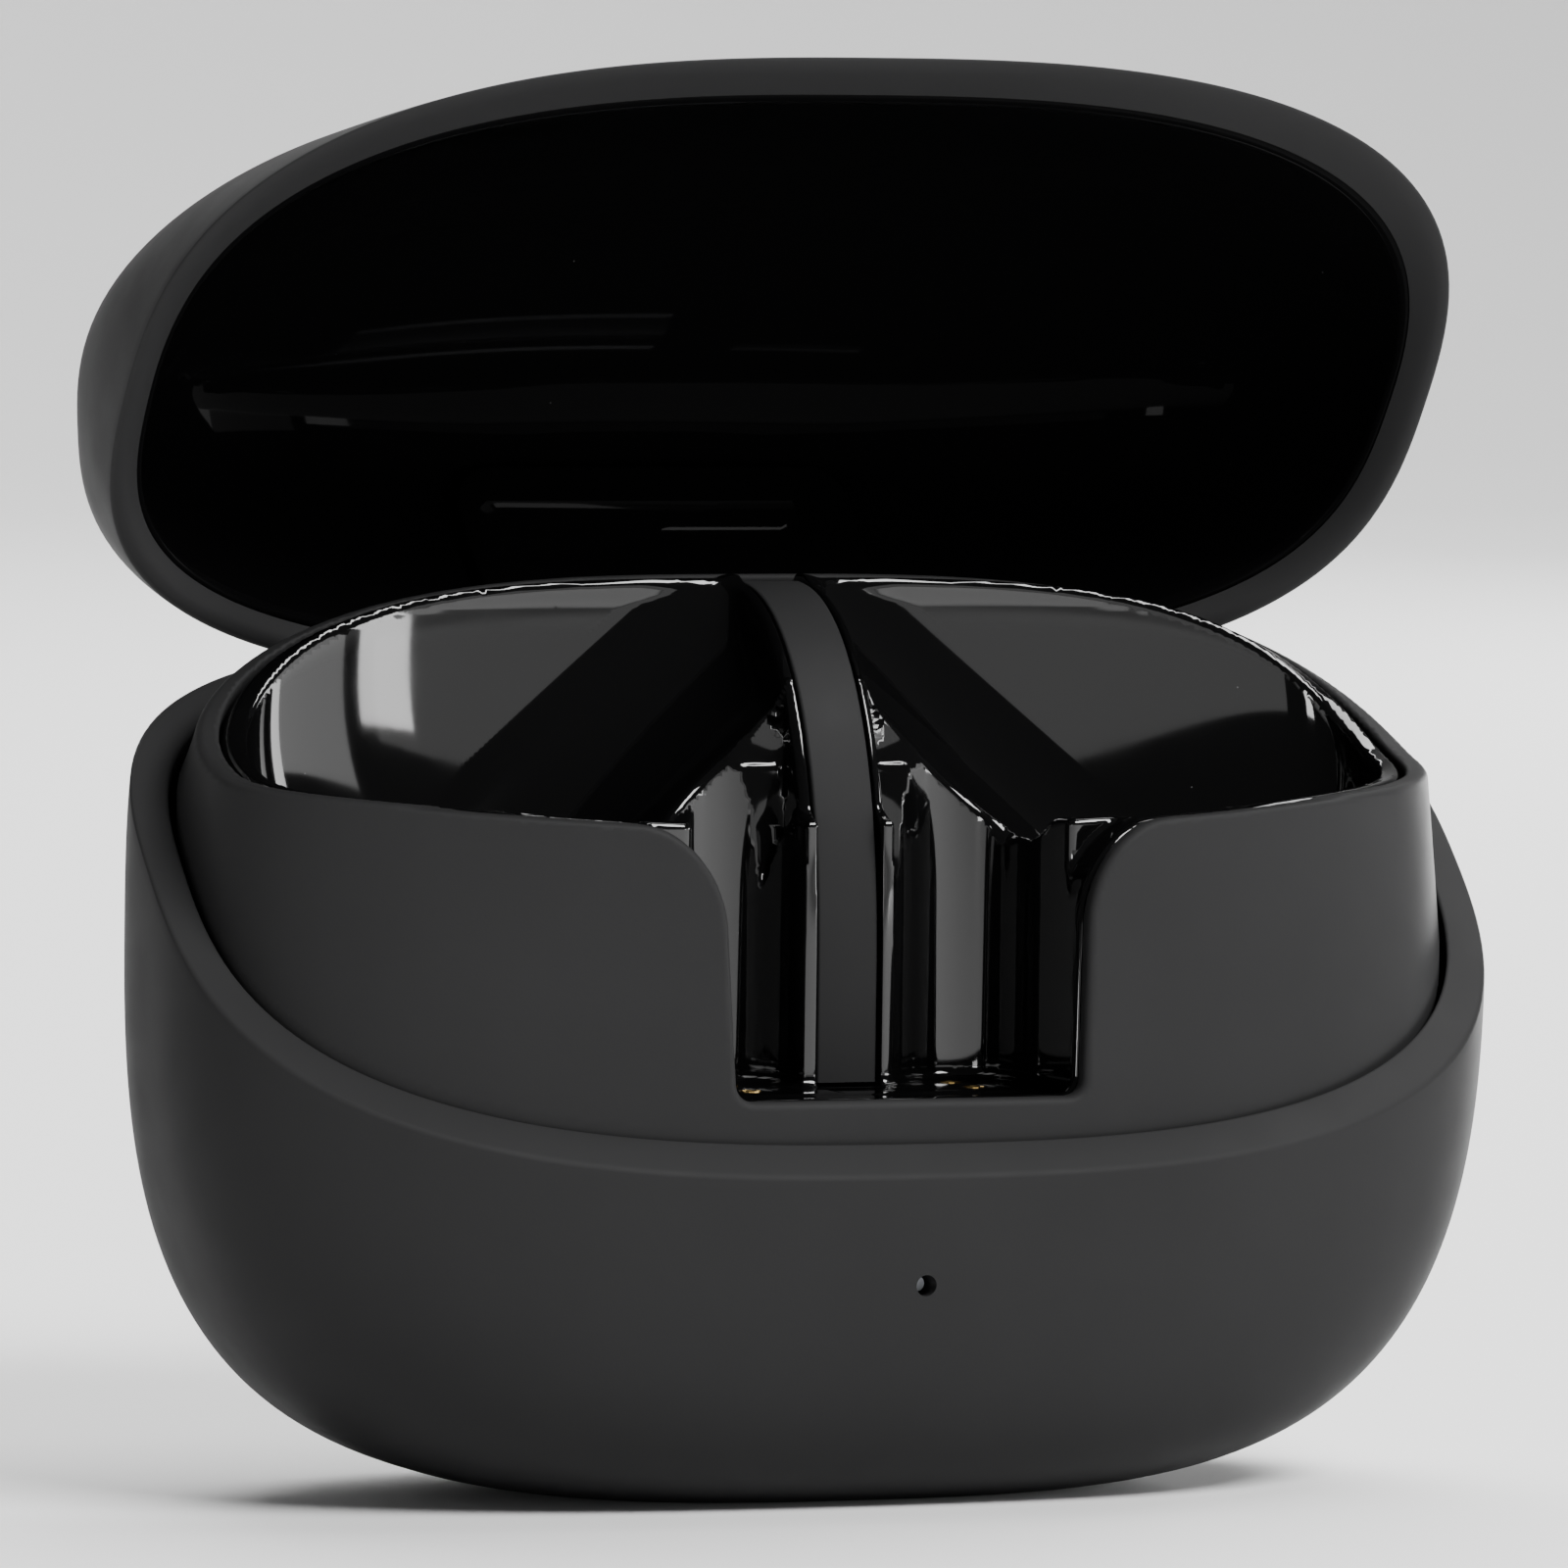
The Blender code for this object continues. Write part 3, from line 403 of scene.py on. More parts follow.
def lid_shell():
    """The upper half: the outside, the matte lip that slopes in to the gloss, and the inside."""
    top = EQUATOR_Z + UPPER_HEIGHT - END_MARGIN
    gap = PARTING_GAP / 2
    foot = parting_heights(0.0, gap + LIP_R)
    rings = []
    rows = 56
    for k in range(rows):
        rings.append(skin_ring(top - (top - foot) * (1 - math.cos(math.pi / 2 * k / rows))))
    rings += [edge_ring(LIP_R * away, gap + LIP_R * up) for away, up in quarter(6)]
    for k in range(7):
        share = k / 6
        inset = LID_LIP_FLAT + (LID_LIP_INSET - LID_LIP_FLAT) * share**0.8
        rings.append(edge_ring(inset, gap + LID_LIP_RISE * share**1.15))
    low = parting_heights(LID_WALL, gap + LID_LIP_RISE + 0.05)
    for k in range(12):
        rings.append(skin_ring(low + (top - LID_WALL - low) * (k / 11) ** 0.7, LID_WALL))
    shell = loft("lid_shell_skin", [turned_open(ring) for ring in rings])
    face_out(shell)
    cut(shell, barrel_room())
    apply_all(shell)
    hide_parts("lid_shell")
    return shell


def lid_liner():
    """The gloss inner skin: its ceiling, its rounded lower edge and its hidden outer face."""
    top = EQUATOR_Z + UPPER_HEIGHT
    gap = PARTING_GAP / 2 + LINER_RISE
    outer_inset = LID_WALL + LINER_GAP
    inner_inset = outer_inset + LID_LINER_WALL
    ceiling = {"top_inset": LID_CEILING_INSET, "upper_power": CEILING_POWER}
    above = {"top_inset": LID_CEILING_INSET - LID_LINER_WALL, "upper_power": CEILING_POWER}
    edge_r = LID_LINER_WALL / 2 - END_MARGIN
    middle_inset = (inner_inset + outer_inset) / 2
    inner_top = top - LID_CEILING_INSET - END_MARGIN
    low = parting_heights(inner_inset, gap + edge_r)
    rings = []
    rows = 60
    for k in range(rows):
        share = 1 - math.cos(math.pi / 2 * k / rows)
        rings.append(skin_ring(inner_top - (inner_top - low) * share, inner_inset, **ceiling))
    for k in range(9):
        a = math.pi * k / 8
        inset = middle_inset + LID_LINER_WALL / 2 * math.cos(a)
        rings.append(edge_ring(inset, gap + edge_r - edge_r * math.sin(a)))
    low = parting_heights(outer_inset, gap + edge_r)
    for k in range(1, 14):
        rings.append(skin_ring(low + (top - 2.6 - low) * (k / 13) ** 0.7, outer_inset, **above))
    liner = loft("lid_liner_skin", [turned_open(ring) for ring in rings])
    face_out(liner)
    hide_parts("lid_liner")
    return liner


def cover_height(y, drop=0.0):
    """Height of the lid's gloss ceiling at x = 0, lowered by a drop."""
    inset = LID_WALL + LINER_GAP + LID_LINER_WALL + drop
    height = UPPER_HEIGHT - LID_CEILING_INSET - drop
    return EQUATOR_Z + height * np.sqrt(np.maximum(1 - (y / (HALF_DEPTH - inset)) ** 2, 0.0))


def hinge_cover():
    """The raised panel inside the lid: a rounded rectangle laid over the curved ceiling."""
    front_y, rear_y = 0.95, 7.2
    corner, rear_corner, edge_r = 1.9, 0.2, 0.25
    back, thick = 0.35, 0.62
    face = thick + back
    ys = np.linspace(front_y, rear_y, 400)
    run = np.concatenate([[0], np.cumsum(np.hypot(np.diff(ys), np.diff(cover_height(ys, back))))])
    length = run[-1]
    wide, narrow = HINGE_COVER_HALF - rear_corner, HINGE_COVER_HALF - corner
    outline = rounded(
        (
            (wide, length - rear_corner, rear_corner, 0),
            (-wide, length - rear_corner, rear_corner, 90),
            (-narrow, corner, corner, 180),
            (narrow, corner, corner, 270),
        ),
        16,
    )
    outline = dense_outline(np.array(outline), 0.35)
    middle = np.array([0.0, length / 2])
    rings = [cover_ring(outline, back, ys, run)]
    for k in range(6):
        a = math.pi / 2 * k / 5
        edge = shrunk(outline, edge_r * (1 - math.cos(a)))
        rings.append(cover_ring(edge, face - edge_r * (1 - math.sin(a)), ys, run))
    for share in np.linspace(0.9, 0.04, 16):
        inner = middle + (shrunk(outline, edge_r) - middle) * share
        rings.append(cover_ring(inner, face, ys, run))
    cover = loft("hinge_cover_skin", [turned_open(ring) for ring in rings])
    face_out(cover)
    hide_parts("hinge_cover")
    return cover


def cover_ring(outline, drop, ys, run):
    y = np.interp(outline[:, 1], run, ys)
    return np.stack([outline[:, 0], y, cover_height(y, drop)], axis=1)


def rounded(corners, steps):
    """An outline of quarter turns, one for each corner (x, v, radius, first angle)."""
    outline = []
    for x, v, radius, start in corners:
        for k in range(steps + 1):
            a = math.radians(start + 90 * k / steps)
            outline.append((x + radius * math.cos(a), v + radius * math.sin(a)))
    return outline


def dense_outline(outline, spacing):
    closed = np.vstack([outline, outline[:1]])
    run = np.concatenate([[0], np.cumsum(np.linalg.norm(np.diff(closed, axis=0), axis=1))])
    stops = np.linspace(0, run[-1], int(run[-1] / spacing), endpoint=False)
    return np.stack([np.interp(stops, run, closed[:, k]) for k in (0, 1)], axis=1)


def shrunk(outline, away):
    """An outline moved inwards by a distance."""
    tangent = np.roll(outline, -1, axis=0) - np.roll(outline, 1, axis=0)
    normal = np.stack([-tangent[:, 1], tangent[:, 0]], axis=1)
    normal /= np.maximum(np.linalg.norm(normal, axis=1, keepdims=True), 1e-9)
    return outline + normal * away


# Solids as distance fields: negative inside, rounded where they are joined


def both(a, b, radius):
    """Intersection with a rounded edge."""
    u, v = np.maximum(a + radius, 0.0), np.maximum(b + radius, 0.0)
    return np.minimum(-radius, np.maximum(a, b)) + np.sqrt(u * u + v * v)


def either(a, b, radius):
    """Union with a rounded inner corner."""
    return -both(-a, -b, radius)


def without(a, b, radius):
    return both(a, -b, radius)


LEAST_SLOPE = 0.001


def oval_distance(x, y, half_x, half_y, power):
    """Distance to a superellipse, good near its edge, and the Y part of its direction."""
    u, v = np.abs(x) / half_x, np.abs(y) / half_y
    g = np.maximum((u**power + v**power) ** (1 / power), 0.05)
    gx = (u / g) ** (power - 1) / half_x
    gy = (v / g) ** (power - 1) / half_y
    steep = np.maximum(np.sqrt(gx * gx + gy * gy), LEAST_SLOPE)
    return (g - 1) / steep, np.sign(y) * gy / steep


def wall_distance(x, y, z):
    """Distance to the cradle wall's outer face, which leans from the groove to the rim."""
    parting = polynomial(PARTING, y)
    half_x, half_y = half_sizes(np.clip(parting, 8.0, 40.0), BASE_WALL + GROOVE)
    rear = np.clip(y / (0.8 * half_y), 0.0, 1.0)
    half_y = half_y * (1 - REAR_SQUEEZE * rear**PLAN_POWER)
    foot, _ = oval_distance(x, y, half_x, half_y, PLAN_POWER)
    rim, toward = rim_oval(x, y)
    top_y = y - rim * toward
    top = polynomial(RIM_HEIGHT, top_y)
    share = np.clip((z - parting) / np.maximum(top - parting, 1.0), 0.0, 1.0)
    lean = slope_of(RIM_HEIGHT, top_y)
    above = (z - top) / np.sqrt(1 + lean * lean)
    return foot + (rim - foot) * share, above


def notch_distance(x, y, z, above):
    """The finger notch: a U in the front wall whose shoulders run out into the rim."""
    half = NOTCH_HALF_WIDTH + NOTCH_TAPER * (z - SLOT_FLOOR)
    opening = both(np.abs(x) - half, SLOT_FLOOR - z, NOTCH_CORNER_R)
    opening = either(opening, -above, NOTCH_SHOULDER_R)
    return both(opening, y - NOTCH_DEPTH_Y, EDGE_R)


def rib_profile(y, z):
    height = np.maximum(z - RIB_CENTRE[1], 0.0)
    profile, _ = oval_distance(y - RIB_CENTRE[0], height, *RIB_SIZE, RIB_POWER)
    return profile


def slots_distance(x, y, z, wall):
    """Two round-backed slots that run out to the front wall and widen a little."""
    side = np.abs(x) - SLOT_X
    ahead = np.maximum(SLOT_CENTRE_Y - y, 0.0)
    reach = SLOT_R + SLOT_FLARE * ahead * (side > 0)
    round_back = np.hypot(side, np.maximum(y - SLOT_CENTRE_Y, 0.0)) - reach
    between = np.maximum(np.abs(x) - SLOT_X, y - SLOT_CENTRE_Y + 0.05)
    plan = np.minimum(round_back, between)
    channel = both(plan, SLOT_FLOOR - z, SLOT_CORNER_R)
    return both(channel, wall + FRAME_WALL + LINER_GAP + CRADLE_WALL, EDGE_R)


def rim_oval(x, y, inset=0.0, scale=1.0):
    """Distance to the cradle rim's outline, set in and scaled, and the Y part of its direction."""
    local = y - RIM_CENTRE_Y
    front = local < 0
    half_x = (RIM_HALF_WIDTH - inset) * scale
    half_y = (np.where(front, RIM_FRONT, RIM_REAR) - inset) * scale
    return oval_distance(x, local, half_x, half_y, np.where(front, RIM_FRONT_POWER, RIM_REAR_POWER))


def well_distance(x, y, z, wall, above):
    """A bowl that is upright at the rim, curves in below it, and slopes up towards the rib."""
    t = (WELL_SLOPE_START - np.abs(x)) / WELL_SOFTNESS
    rise = WELL_SLOPE * WELL_SOFTNESS * np.logaddexp(0.0, t)
    lean = WELL_SLOPE / (1 + np.exp(-t))
    floor = (WELL_FLOOR + rise - z) / np.sqrt(1 + lean * lean)
    walls = FRAME_WALL + LINER_GAP + CRADLE_WALL
    shrink = np.sqrt(1 - np.clip(-above / BOWL_DEPTH, 0.0, 0.95) ** 2)
    bowl, _ = rim_oval(x, y, walls, shrink)
    side = both(wall + walls, bowl, 0.5)
    return both(floor, side, WELL_FILLET)


def liner_field(x, y, z):
    """The gloss insert: a block less its wells, slots and notch, with the rib and its strip seat."""
    wall, above = wall_distance(x, y, z)
    outside = wall + FRAME_WALL + LINER_GAP
    block = both(outside, above + 0.05, EDGE_R)
    block = both(block, CRADLE_BOTTOM - z, FOOT_R)
    room = well_distance(x, y, z, wall, above)
    room = either(room, slots_distance(x, y, z, wall), SLOT_CORNER_R)
    room = either(room, notch_distance(x, y, z, above), NOTCH_EDGE_R)
    body = without(block, room, ROOM_EDGE_R)
    profile = rib_profile(y, z)
    rib = both(np.abs(x) - RIB_HALF, profile, RIB_EDGE_R)
    rib = both(rib, outside, EDGE_R)
    rib = both(rib, CRADLE_BOTTOM - z, FOOT_R)
    body = either(body, rib, RIB_FOOT_R)
    seat_side = np.abs(x) - STRIP_HALF - SEAT_SIDE_GAP
    seat = both(seat_side, -profile - STRIP_THICK - SEAT_BACK_GAP, 0.05)
    seat = both(seat, SLOT_FLOOR - z, 0.05)
    return without(body, seat, 0.12)


def frame_field(x, y, z):
    """The matte wall around the insert, less the finger notch and the hinge's room."""
    wall, above = wall_distance(x, y, z)
    ring = both(wall, above, EDGE_R)
    ring = without(ring, wall + FRAME_WALL, FOOT_R)
    foot = (polynomial(PARTING, y) - FRAME_SKIRT - z) / math.sqrt(2)
    ring = both(ring, foot, 0.1)
    ring = without(ring, notch_distance(x, y, z, above), NOTCH_EDGE_R)
    return without(ring, hinge_room(x, y, z), 0.08)


def hinge_room(x, y, z):
    """The room that the hinge barrels and the base's two knuckle webs take out of the frame."""
    barrel = np.hypot(y - HINGE_Y, z - HINGE_Z) - HINGE_ROOM_R
    barrel = np.maximum(barrel, np.abs(x) - HINGE_ROOM_HALF)
    web = np.maximum(np.abs(np.abs(x) - WEB_X) - WEB_HALF, WEB_FRONT_Y - y)
    web = np.maximum(web, np.abs(z - WEB_Z) - WEB_HALF_HEIGHT)
    return np.minimum(barrel, web)


def steps_between(low, high, spacing, fine=()):
    """Grid stops with a spacing, closer within the fine stretches (from, to, spacing)."""
    stops = [low]
    while stops[-1] < high:
        here = stops[-1]
        step = spacing
        for start, end, close in fine:
            if start <= here < end:
                step = close
        stops.append(here + step)
    return np.array(stops)


def surface(name, field, xs, ys, zs):
    """A mesh on a field's zero surface, with the field's own normals."""
    grid = field(xs[:, None, None], ys[None, :, None], zs[None, None, :])
    inside = grid < 0
    shape = [n - 1 for n in grid.shape]
    count = sum(
        inside[i : i + shape[0], j : j + shape[1], k : k + shape[2]].astype(np.int8)
        for i in (0, 1)
        for j in (0, 1)
        for k in (0, 1)
    )
    cells = np.argwhere((count > 0) & (count < 8))
    index = np.full(shape, -1)
    index[tuple(cells.T)] = np.arange(len(cells))
    points = cell_points(grid, cells, (xs, ys, zs))
    faces = cell_faces(inside, index)
    for _ in range(4):
        value, slope = value_and_slope(field, points)
        move = value[:, None] * slope / np.maximum((slope**2).sum(1, keepdims=True), 0.2)
        points -= np.clip(move, -0.1, 0.1)
    _, slope = value_and_slope(field, points)
    normals = slope / np.linalg.norm(slope, axis=1, keepdims=True)
    return to_mesh(name, points, faces, normals)


def value_and_slope(field, points, step=0.02):
    value = field(*points.T)
    slope = np.empty_like(points)
    for axis in range(3):
        ahead, behind = points.copy(), points.copy()
        ahead[:, axis] += step
        behind[:, axis] -= step
        slope[:, axis] = (field(*ahead.T) - field(*behind.T)) / (2 * step)
    return value, slope


def cell_points(grid, cells, stops):
    """One point in each cell that the surface crosses: the mean of its edge crossings."""
    corners = np.array([(i, j, k) for i in (0, 1) for j in (0, 1) for k in (0, 1)])
    total = np.zeros((len(cells), 3))
    hits = np.zeros(len(cells))
    for a in corners:
        for axis in range(3):
            if a[axis]:
                continue
            b = a.copy()
            b[axis] = 1
            at_a, at_b = cells + a, cells + b
            value_a, value_b = grid[tuple(at_a.T)], grid[tuple(at_b.T)]
            crossed = (value_a < 0) != (value_b < 0)
            share = np.where(crossed, value_a / np.where(crossed, value_a - value_b, 1.0), 0.0)
            place_a = np.stack([stops[k][at_a[:, k]] for k in range(3)], axis=1)
            place_b = np.stack([stops[k][at_b[:, k]] for k in range(3)], axis=1)
            total += (place_a + (place_b - place_a) * share[:, None]) * crossed[:, None]
            hits += crossed
    return total / hits[:, None]


def cell_faces(inside, index):
    faces = []
    for axis in range(3):
        one, two = (axis + 1) % 3, (axis + 2) % 3
        near = [slice(1, -1)] * 3
        near[axis] = slice(0, -1)
        far = list(near)
        far[axis] = slice(1, None)
        here, there = inside[tuple(near)], inside[tuple(far)]
        edges = np.argwhere(here != there)
        offset = np.ones(3, int)
        offset[axis] = 0
        at = edges + offset
        quad = []
        for a, b in ((1, 1), (0, 1), (0, 0), (1, 0)):
            cell = at.copy()
            cell[:, one] -= a
            cell[:, two] -= b
            quad.append(index[tuple(cell.T)])
        quad = np.stack(quad, axis=1)
        entering = ~here[tuple(edges.T)]
        quad[entering] = quad[entering][:, ::-1]
        faces.append(quad)
    return np.concatenate(faces).tolist()


def cradle_liner():
    xs = steps_between(-27.4, 27.4, 0.22, fine=((-2.3, 2.3, 0.1),))
    ys = steps_between(-10.6, 7.6, 0.2)
    zs = steps_between(15.6, 39.2, 0.2)
    liner = surface("cradle_liner_skin", liner_field, xs, ys, zs)
    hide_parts("cradle_liner")
    return liner


def cradle_frame():
    xs = steps_between(-28.8, 28.8, 0.22)
    ys = steps_between(-12.0, 9.4, 0.18)
    zs = steps_between(12.0, 39.4, 0.22)
    wall = surface("cradle_frame_skin", frame_field, xs, ys, zs)
    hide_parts("cradle_frame")
    return wall


def divider_strip():
    """The matte strip: a flat bar with eased corners that follows the rib's profile."""
    front_y = RIB_CENTRE[0] - RIB_SIZE[0]
    path = [(front_y, z) for z in np.linspace(SLOT_FLOOR + STRIP_LIFT, RIB_CENTRE[1], 12)]
    for a in np.linspace(0.02, 1.0, 90) * math.pi / 2 * 0.985:
        y = RIB_CENTRE[0] - RIB_SIZE[0] * math.cos(a) ** (2 / RIB_POWER)
        z = RIB_CENTRE[1] + RIB_SIZE[1] * math.sin(a) ** (2 / RIB_POWER)
        path.append((y, z))
    path = np.array([p for p in path if p[0] < STRIP_END_Y])
    run = np.gradient(path, axis=0)
    run /= np.linalg.norm(run, axis=1, keepdims=True)
    out = np.stack([-run[:, 1], run[:, 0]], axis=1)
    corner = 0.12
    side, low = STRIP_HALF - corner, corner - STRIP_THICK
    section = rounded(
        (
            (side, -corner, corner, 0),
            (-side, -corner, corner, 90),
            (-side, low, corner, 180),
            (side, low, corner, 270),
        ),
        4,
    )
    rings = []
    for point, normal in zip(path, out):
        ring = [(x, point[0] + normal[0] * d, point[1] + normal[1] * d) for x, d in section]
        rings.append(np.array(ring))
    strip = loft("divider_strip_skin", rings)
    face_out(strip)
    strip.data.set_sharp_from_angle(angle=math.radians(50))
    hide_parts("divider_strip")
    return strip


def pairing_button():
    face_y = float(half_sizes(BUTTON_Z)[1]) - BUTTON_SUNK
    back, face = (0, face_y - BUTTON_DEPTH, BUTTON_Z), (0, face_y, BUTTON_Z)
    button = rod("pairing_button_skin", back, face, BUTTON_R, 96, BUTTON_EDGE_R)
    face_out(button)
    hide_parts("pairing_button")
    return button


# Materials


class Shader:
    """A Principled material and short ways to feed it."""

    def __init__(self, name, colour, roughness, metallic=0.0):
        self.material = bpy.data.materials.new(name)
        self.material.use_nodes = True
        self.nodes = self.material.node_tree.nodes
        self.links = self.material.node_tree.links
        self.main = self.nodes["Principled BSDF"]
        self.main.inputs["Base Color"].default_value = (*colour, 1.0)
        self.main.inputs["Roughness"].default_value = roughness
        self.main.inputs["Metallic"].default_value = metallic
        self.place = self.nodes.new("ShaderNodeTexCoord").outputs["Object"]

    def noise(self, size_mm, detail=2.0, stretch=(1, 1, 1)):
        """Noise whose blotches are about size_mm across."""
        mapping = self.nodes.new("ShaderNodeMapping")
        mapping.inputs["Scale"].default_value = stretch
        self.links.new(self.place, mapping.inputs["Vector"])
        node = self.nodes.new("ShaderNodeTexNoise")
        node.inputs["Scale"].default_value = 1 / (size_mm * MM)
        node.inputs["Detail"].default_value = detail
        self.links.new(mapping.outputs["Vector"], node.inputs["Vector"])
        return node.outputs["Fac"]

    def span(self, value, low, high, start=0.3, end=0.7):
        node = self.nodes.new("ShaderNodeMapRange")
        node.inputs["From Min"].default_value = start
        node.inputs["From Max"].default_value = end
        node.inputs["To Min"].default_value = low
        node.inputs["To Max"].default_value = high
        self.links.new(value, node.inputs["Value"])
        return node.outputs["Result"]

    def specks(self, spacing_mm, size_share):
        """1 on sparse dots, 0 elsewhere."""
        node = self.nodes.new("ShaderNodeTexVoronoi")
        node.inputs["Scale"].default_value = 1 / (spacing_mm * MM)
        self.links.new(self.place, node.inputs["Vector"])
        return self.span(node.outputs["Distance"], 1.0, 0.0, size_share * 0.6, size_share)

    def tint(self, value, low, high):
        node = self.nodes.new("ShaderNodeMix")
        node.data_type = "RGBA"
        node.inputs["A"].default_value = (*low, 1.0)
        node.inputs["B"].default_value = (*high, 1.0)
        self.links.new(value, node.inputs["Factor"])
        self.links.new(node.outputs["Result"], self.main.inputs["Base Color"])

    def roughen(self, value, low, high):
        self.links.new(self.span(value, low, high), self.main.inputs["Roughness"])

    def bump(self, value, depth_mm, strength=1.0):
        node = self.nodes.new("ShaderNodeBump")
        node.inputs["Strength"].default_value = strength
        node.inputs["Distance"].default_value = depth_mm * MM
        self.links.new(value, node.inputs["Height"])
        self.links.new(node.outputs["Normal"], self.main.inputs["Normal"])


def shade_of(colour, factor):
    return tuple(c * factor for c in colour)


def soft_touch():
    """Satin rubber-like paint with a very fine grain and faint cloudy wear."""
    made = Shader("soft_touch_black", (0.0185, 0.0185, 0.0188), 0.5)
    cloud = made.noise(9.0, 3.0)
    made.tint(cloud, (0.0165, 0.0165, 0.0168), (0.0203, 0.0203, 0.0207))
    made.roughen(made.noise(2.5, 4.0), 0.52, 0.58)
    made.bump(made.noise(0.09, 2.0), 0.004, 0.5)
    made.main.inputs["Specular IOR Level"].default_value = 0.05
    return made.material


def gloss_black(name="gloss_black_plastic", shine=0.5):
    """Polished black plastic with haze from handling and a few specks of dust."""
    made = Shader(name, (0.0025, 0.0025, 0.0026), 0.05)
    made.main.inputs["Specular IOR Level"].default_value = shine
    made.tint(made.specks(2.6, 0.018), (0.0022, 0.0022, 0.0023), (0.07, 0.07, 0.072))
    made.roughen(made.noise(5.0, 4.0), 0.035, 0.06)
    made.bump(made.noise(7.0, 1.0), 0.01, 0.15)
    return made.material


def moulded(name, colour, roughness, metallic=0.0, grain=0.15, depth=0.006, stretch=(1, 1, 1)):
    made = Shader(name, colour, roughness, metallic)
    made.tint(made.noise(3.0, 3.0), shade_of(colour, 0.85), shade_of(colour, 1.12))
    made.roughen(made.noise(1.2, 3.0, stretch), roughness * 0.85, min(roughness * 1.2, 1.0))
    made.bump(made.noise(grain, 2.0, stretch), depth, 0.4)
    return made.material


def all_materials():
    return {
        "soft_touch": soft_touch(),
        "gloss_black": gloss_black(),
        "steel": moulded("satin_steel", (0.5, 0.5, 0.52), 0.32, 1.0, 0.2, 0.004, (0.1, 1, 1)),
        "gold": moulded("gold_plate", (0.85, 0.58, 0.22), 0.22, 1.0, 0.1, 0.002),
        "board_green": moulded("solder_mask", (0.015, 0.11, 0.04), 0.38),
        "cell_wrap": moulded("pouch_foil", (0.5, 0.52, 0.56), 0.34, 0.7, 0.6, 0.02),
        "foam": moulded("foam_black", (0.03, 0.03, 0.03), 0.95, 0.0, 0.3, 0.08),
        "light_pipe": moulded("light_pipe_clear", (0.6, 0.62, 0.66), 0.2),
        "nickel": moulded("nickel_plate", (0.66, 0.65, 0.62), 0.24, 1.0, 0.3, 0.003),
        "black_plastic": moulded("glass_filled_black", (0.014, 0.014, 0.014), 0.45),
        "flex_amber": moulded("polyimide_film", (0.4, 0.17, 0.03), 0.35),
        "lead_red": moulded("lead_red", (0.42, 0.02, 0.02), 0.45),
        "ink_black": moulded("epoxy_black", (0.01, 0.01, 0.01), 0.5),
    }


def dress(piece, material):
    piece.data.materials.clear()
    piece.data.materials.append(material)


def finish_cad_nodes(materials):
    for part in frame["record"]["subparts"]:
        dress(frame["nodes"][part["node"]], materials[part["material_slot"]])


# Studio


def area_light(name, place, target, size, power, colour=(1, 1, 1)):
    data = bpy.data.lights.new(name, "AREA")
    data.shape = "RECTANGLE"
    data.size, data.size_y = size
    data.energy = power
    data.color = colour
    light = bpy.data.objects.new(name, data)
    light.location = place
    light.rotation_euler = (Vector(target) - Vector(place)).to_track_quat("-Z", "Y").to_euler()
    bpy.context.scene.collection.objects.link(light)


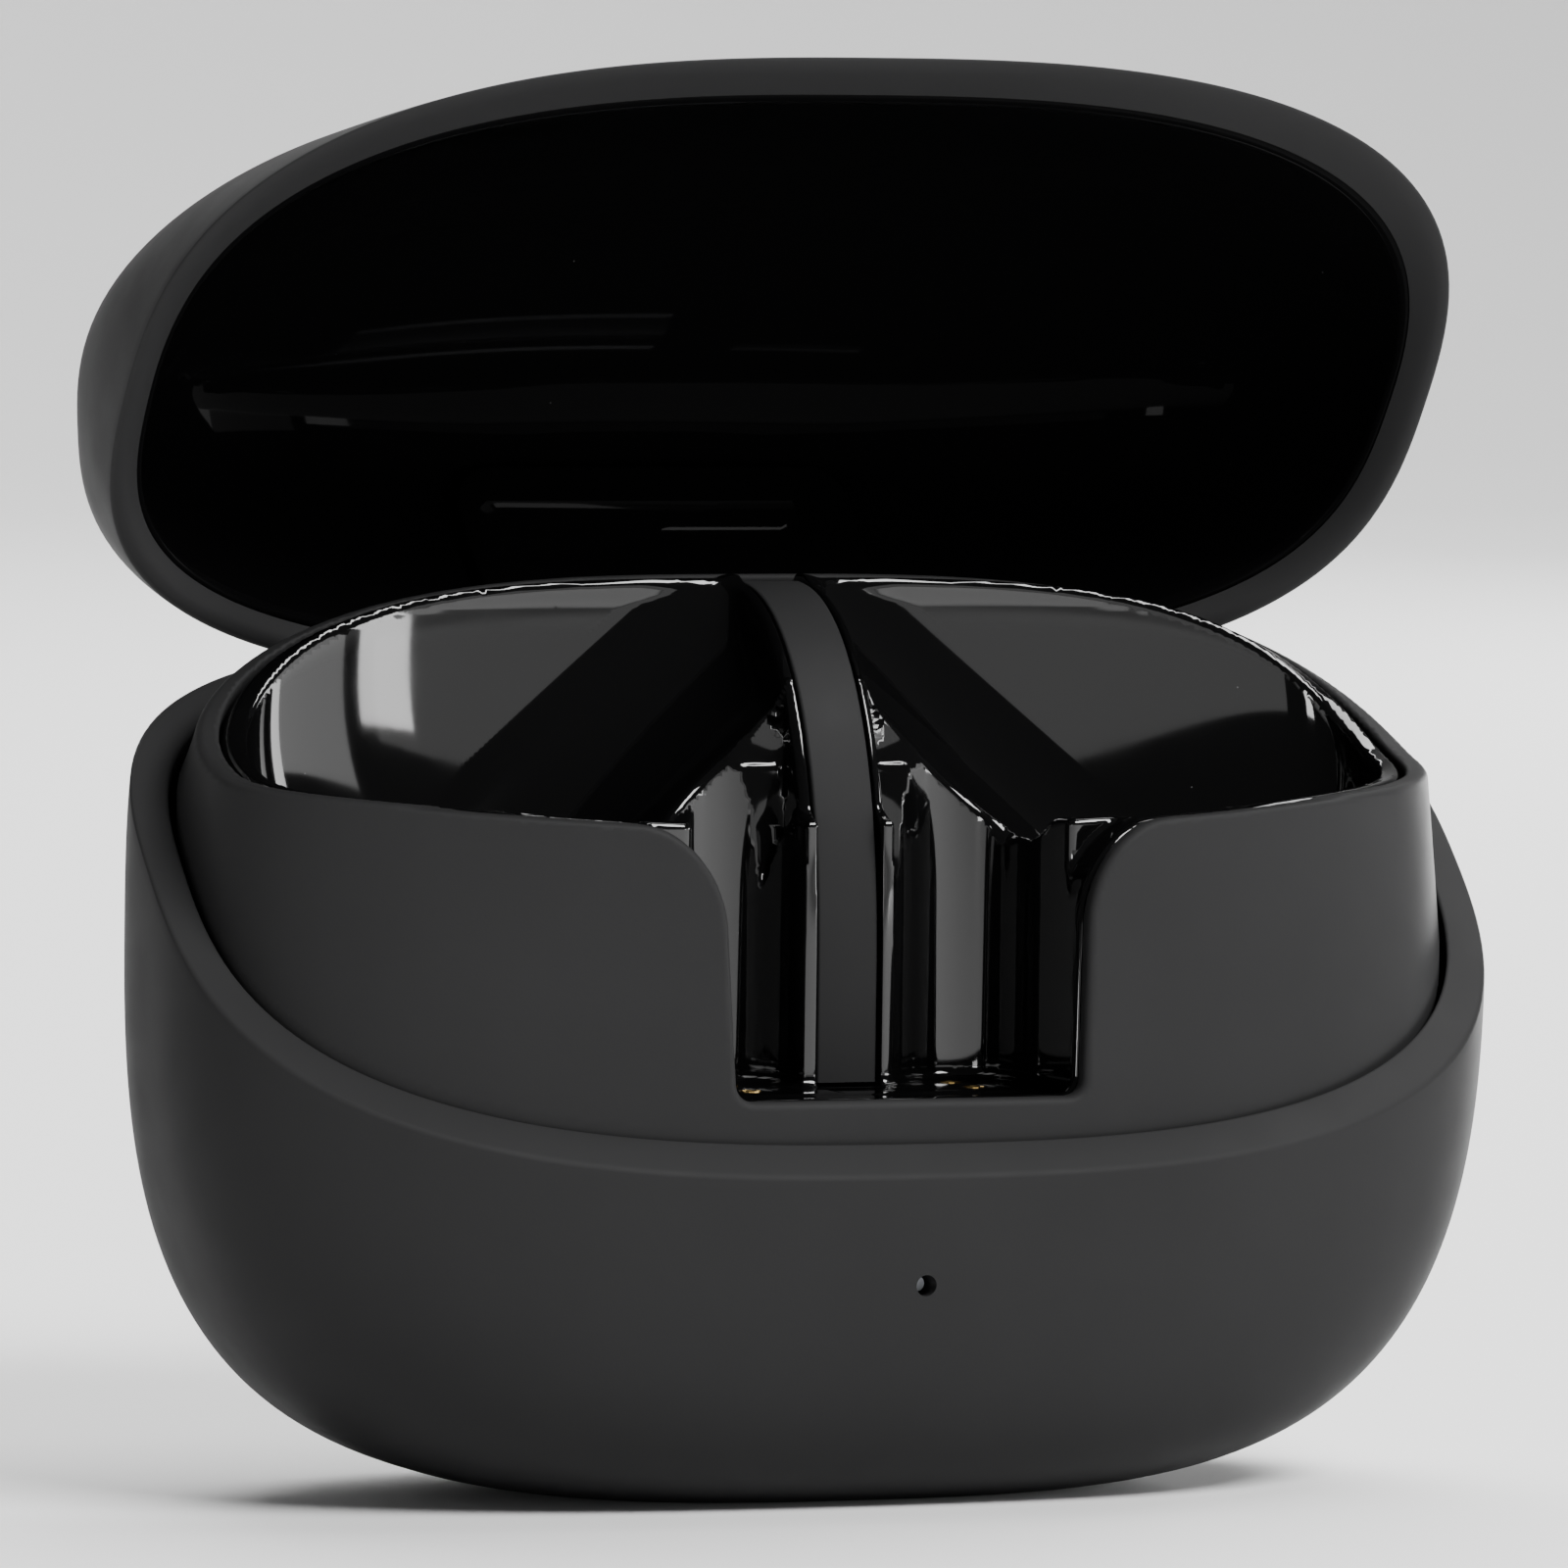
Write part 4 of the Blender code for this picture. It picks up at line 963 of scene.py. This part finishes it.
def studio():
    """A pale sheet that runs back and curves up behind the object, and soft boxes around it."""
    front, back, bend, top, reach = -2.5, 1.0, 0.8, 2.6, 3.0
    profile = [(front, 0.0), (back, 0.0)]
    for a in np.linspace(0.1, math.pi / 2, 14):
        profile.append((back + bend * math.sin(a), bend - bend * math.cos(a)))
    profile.append((back + bend, top))
    points = [(side * reach / MM, y / MM, z / MM) for y, z in profile for side in (-1, 1)]
    faces = [(2 * k, 2 * k + 1, 2 * k + 3, 2 * k + 2) for k in range(len(profile) - 1)]
    sheet = to_mesh("studio_sheet", points, faces)
    paper = Shader("pale_paper", (0.8, 0.8, 0.8), 0.8)
    paper.tint(paper.noise(300.0), (0.79, 0.79, 0.79), (0.81, 0.81, 0.81))
    dress(sheet, paper.material)
    world = bpy.data.worlds.new("studio_air")
    world.use_nodes = True
    air = world.node_tree.nodes["Background"]
    air.inputs["Color"].default_value = (1, 1, 1, 1)
    air.inputs["Strength"].default_value = 0.06
    bpy.context.scene.world = world
    middle = (0, 0, 0.03)
    for name, bearing, height, distance, size, power in (
        ("key", 28, 46, 1.0, (0.6, 0.35), 18),
        ("right_window", 38, 1, 0.8, (0.1, 0.08), 0.4),
        ("right_glow", 58, 3, 0.85, (0.4, 0.16), 0.55),
        ("left_window", -48, 1, 0.8, (0.1, 0.08), 0.5),
        ("rim_box", 128, 5, 0.9, (0.3, 0.3), 9),
        ("right_wash", 84, 4, 1.1, (0.5, 0.25), 4.5),
        ("low_front", 5, 2, 1.6, (2.2, 0.2), 1.6),
        ("sky", 145, 62, 1.4, (1.5, 0.9), 38),
    ):
        place = from_bearing(middle, bearing, height, distance)
        area_light(name, place, middle, size, power)


def from_bearing(middle, bearing, height, distance):
    """A place seen from the object: its bearing from the front (-Y) towards +X, and its elevation."""
    turn, rise = math.radians(bearing), math.radians(height)
    along = Vector((math.sin(turn) * math.cos(rise), -math.cos(turn) * math.cos(rise), math.sin(rise)))
    return Vector(middle) + along * distance


def camera():
    """Seen from the front left, a little above, through a long lens."""
    yaw, pitch, roll = (math.radians(a) for a in (22.146, 3.328, 0.78))
    distance, lens = 589.83, 318.64
    target = Vector((0.0, 0.0, 25.8))
    ahead = Vector((math.sin(yaw) * math.cos(pitch), math.cos(yaw) * math.cos(pitch), -math.sin(pitch)))
    right = Vector((math.cos(yaw), -math.sin(yaw), 0.0))
    up = right.cross(ahead)
    place = target - ahead * distance + right * -1.302 + up * 4.062
    level_right = right * math.cos(roll) + up * math.sin(roll)
    level_up = up * math.cos(roll) - right * math.sin(roll)
    data = bpy.data.cameras.new("photo_camera")
    data.lens = lens
    data.sensor_width = 36.0
    data.clip_start = 0.05
    seen = bpy.data.objects.new("photo_camera", data)
    turn = Matrix((level_right, level_up, -ahead)).transposed().to_4x4()
    seen.matrix_world = Matrix.Translation(place * MM) @ turn
    bpy.context.scene.collection.objects.link(seen)
    bpy.context.scene.camera = seen


def main():
    materials = all_materials()
    finish_cad_nodes(materials)
    # Painted shade: the lid's gloss black is a copy of the cradle's with its reflection turned almost off, so the
    # inside of the lid stays dark.
    lid_gloss_painted_shade = gloss_black("gloss_black_lid_painted_shade", 0.012)
    pieces = (
        (base_shell(), "base", "soft_touch"),
        (lid_shell(), "lid", "soft_touch"),
        (lid_liner(), "lid", "gloss_black"),
        (hinge_cover(), "lid", "gloss_black"),
        (cradle_frame(), "base", "soft_touch"),
        (cradle_liner(), "base", "gloss_black"),
        (divider_strip(), "base", "soft_touch"),
        (pairing_button(), "button", "soft_touch"),
    )
    for piece, body, slot in pieces:
        dress(piece, lid_gloss_painted_shade if slot == "gloss_black" and body == "lid" else materials[slot])
        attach(piece, body)
    studio()
    camera()


main()
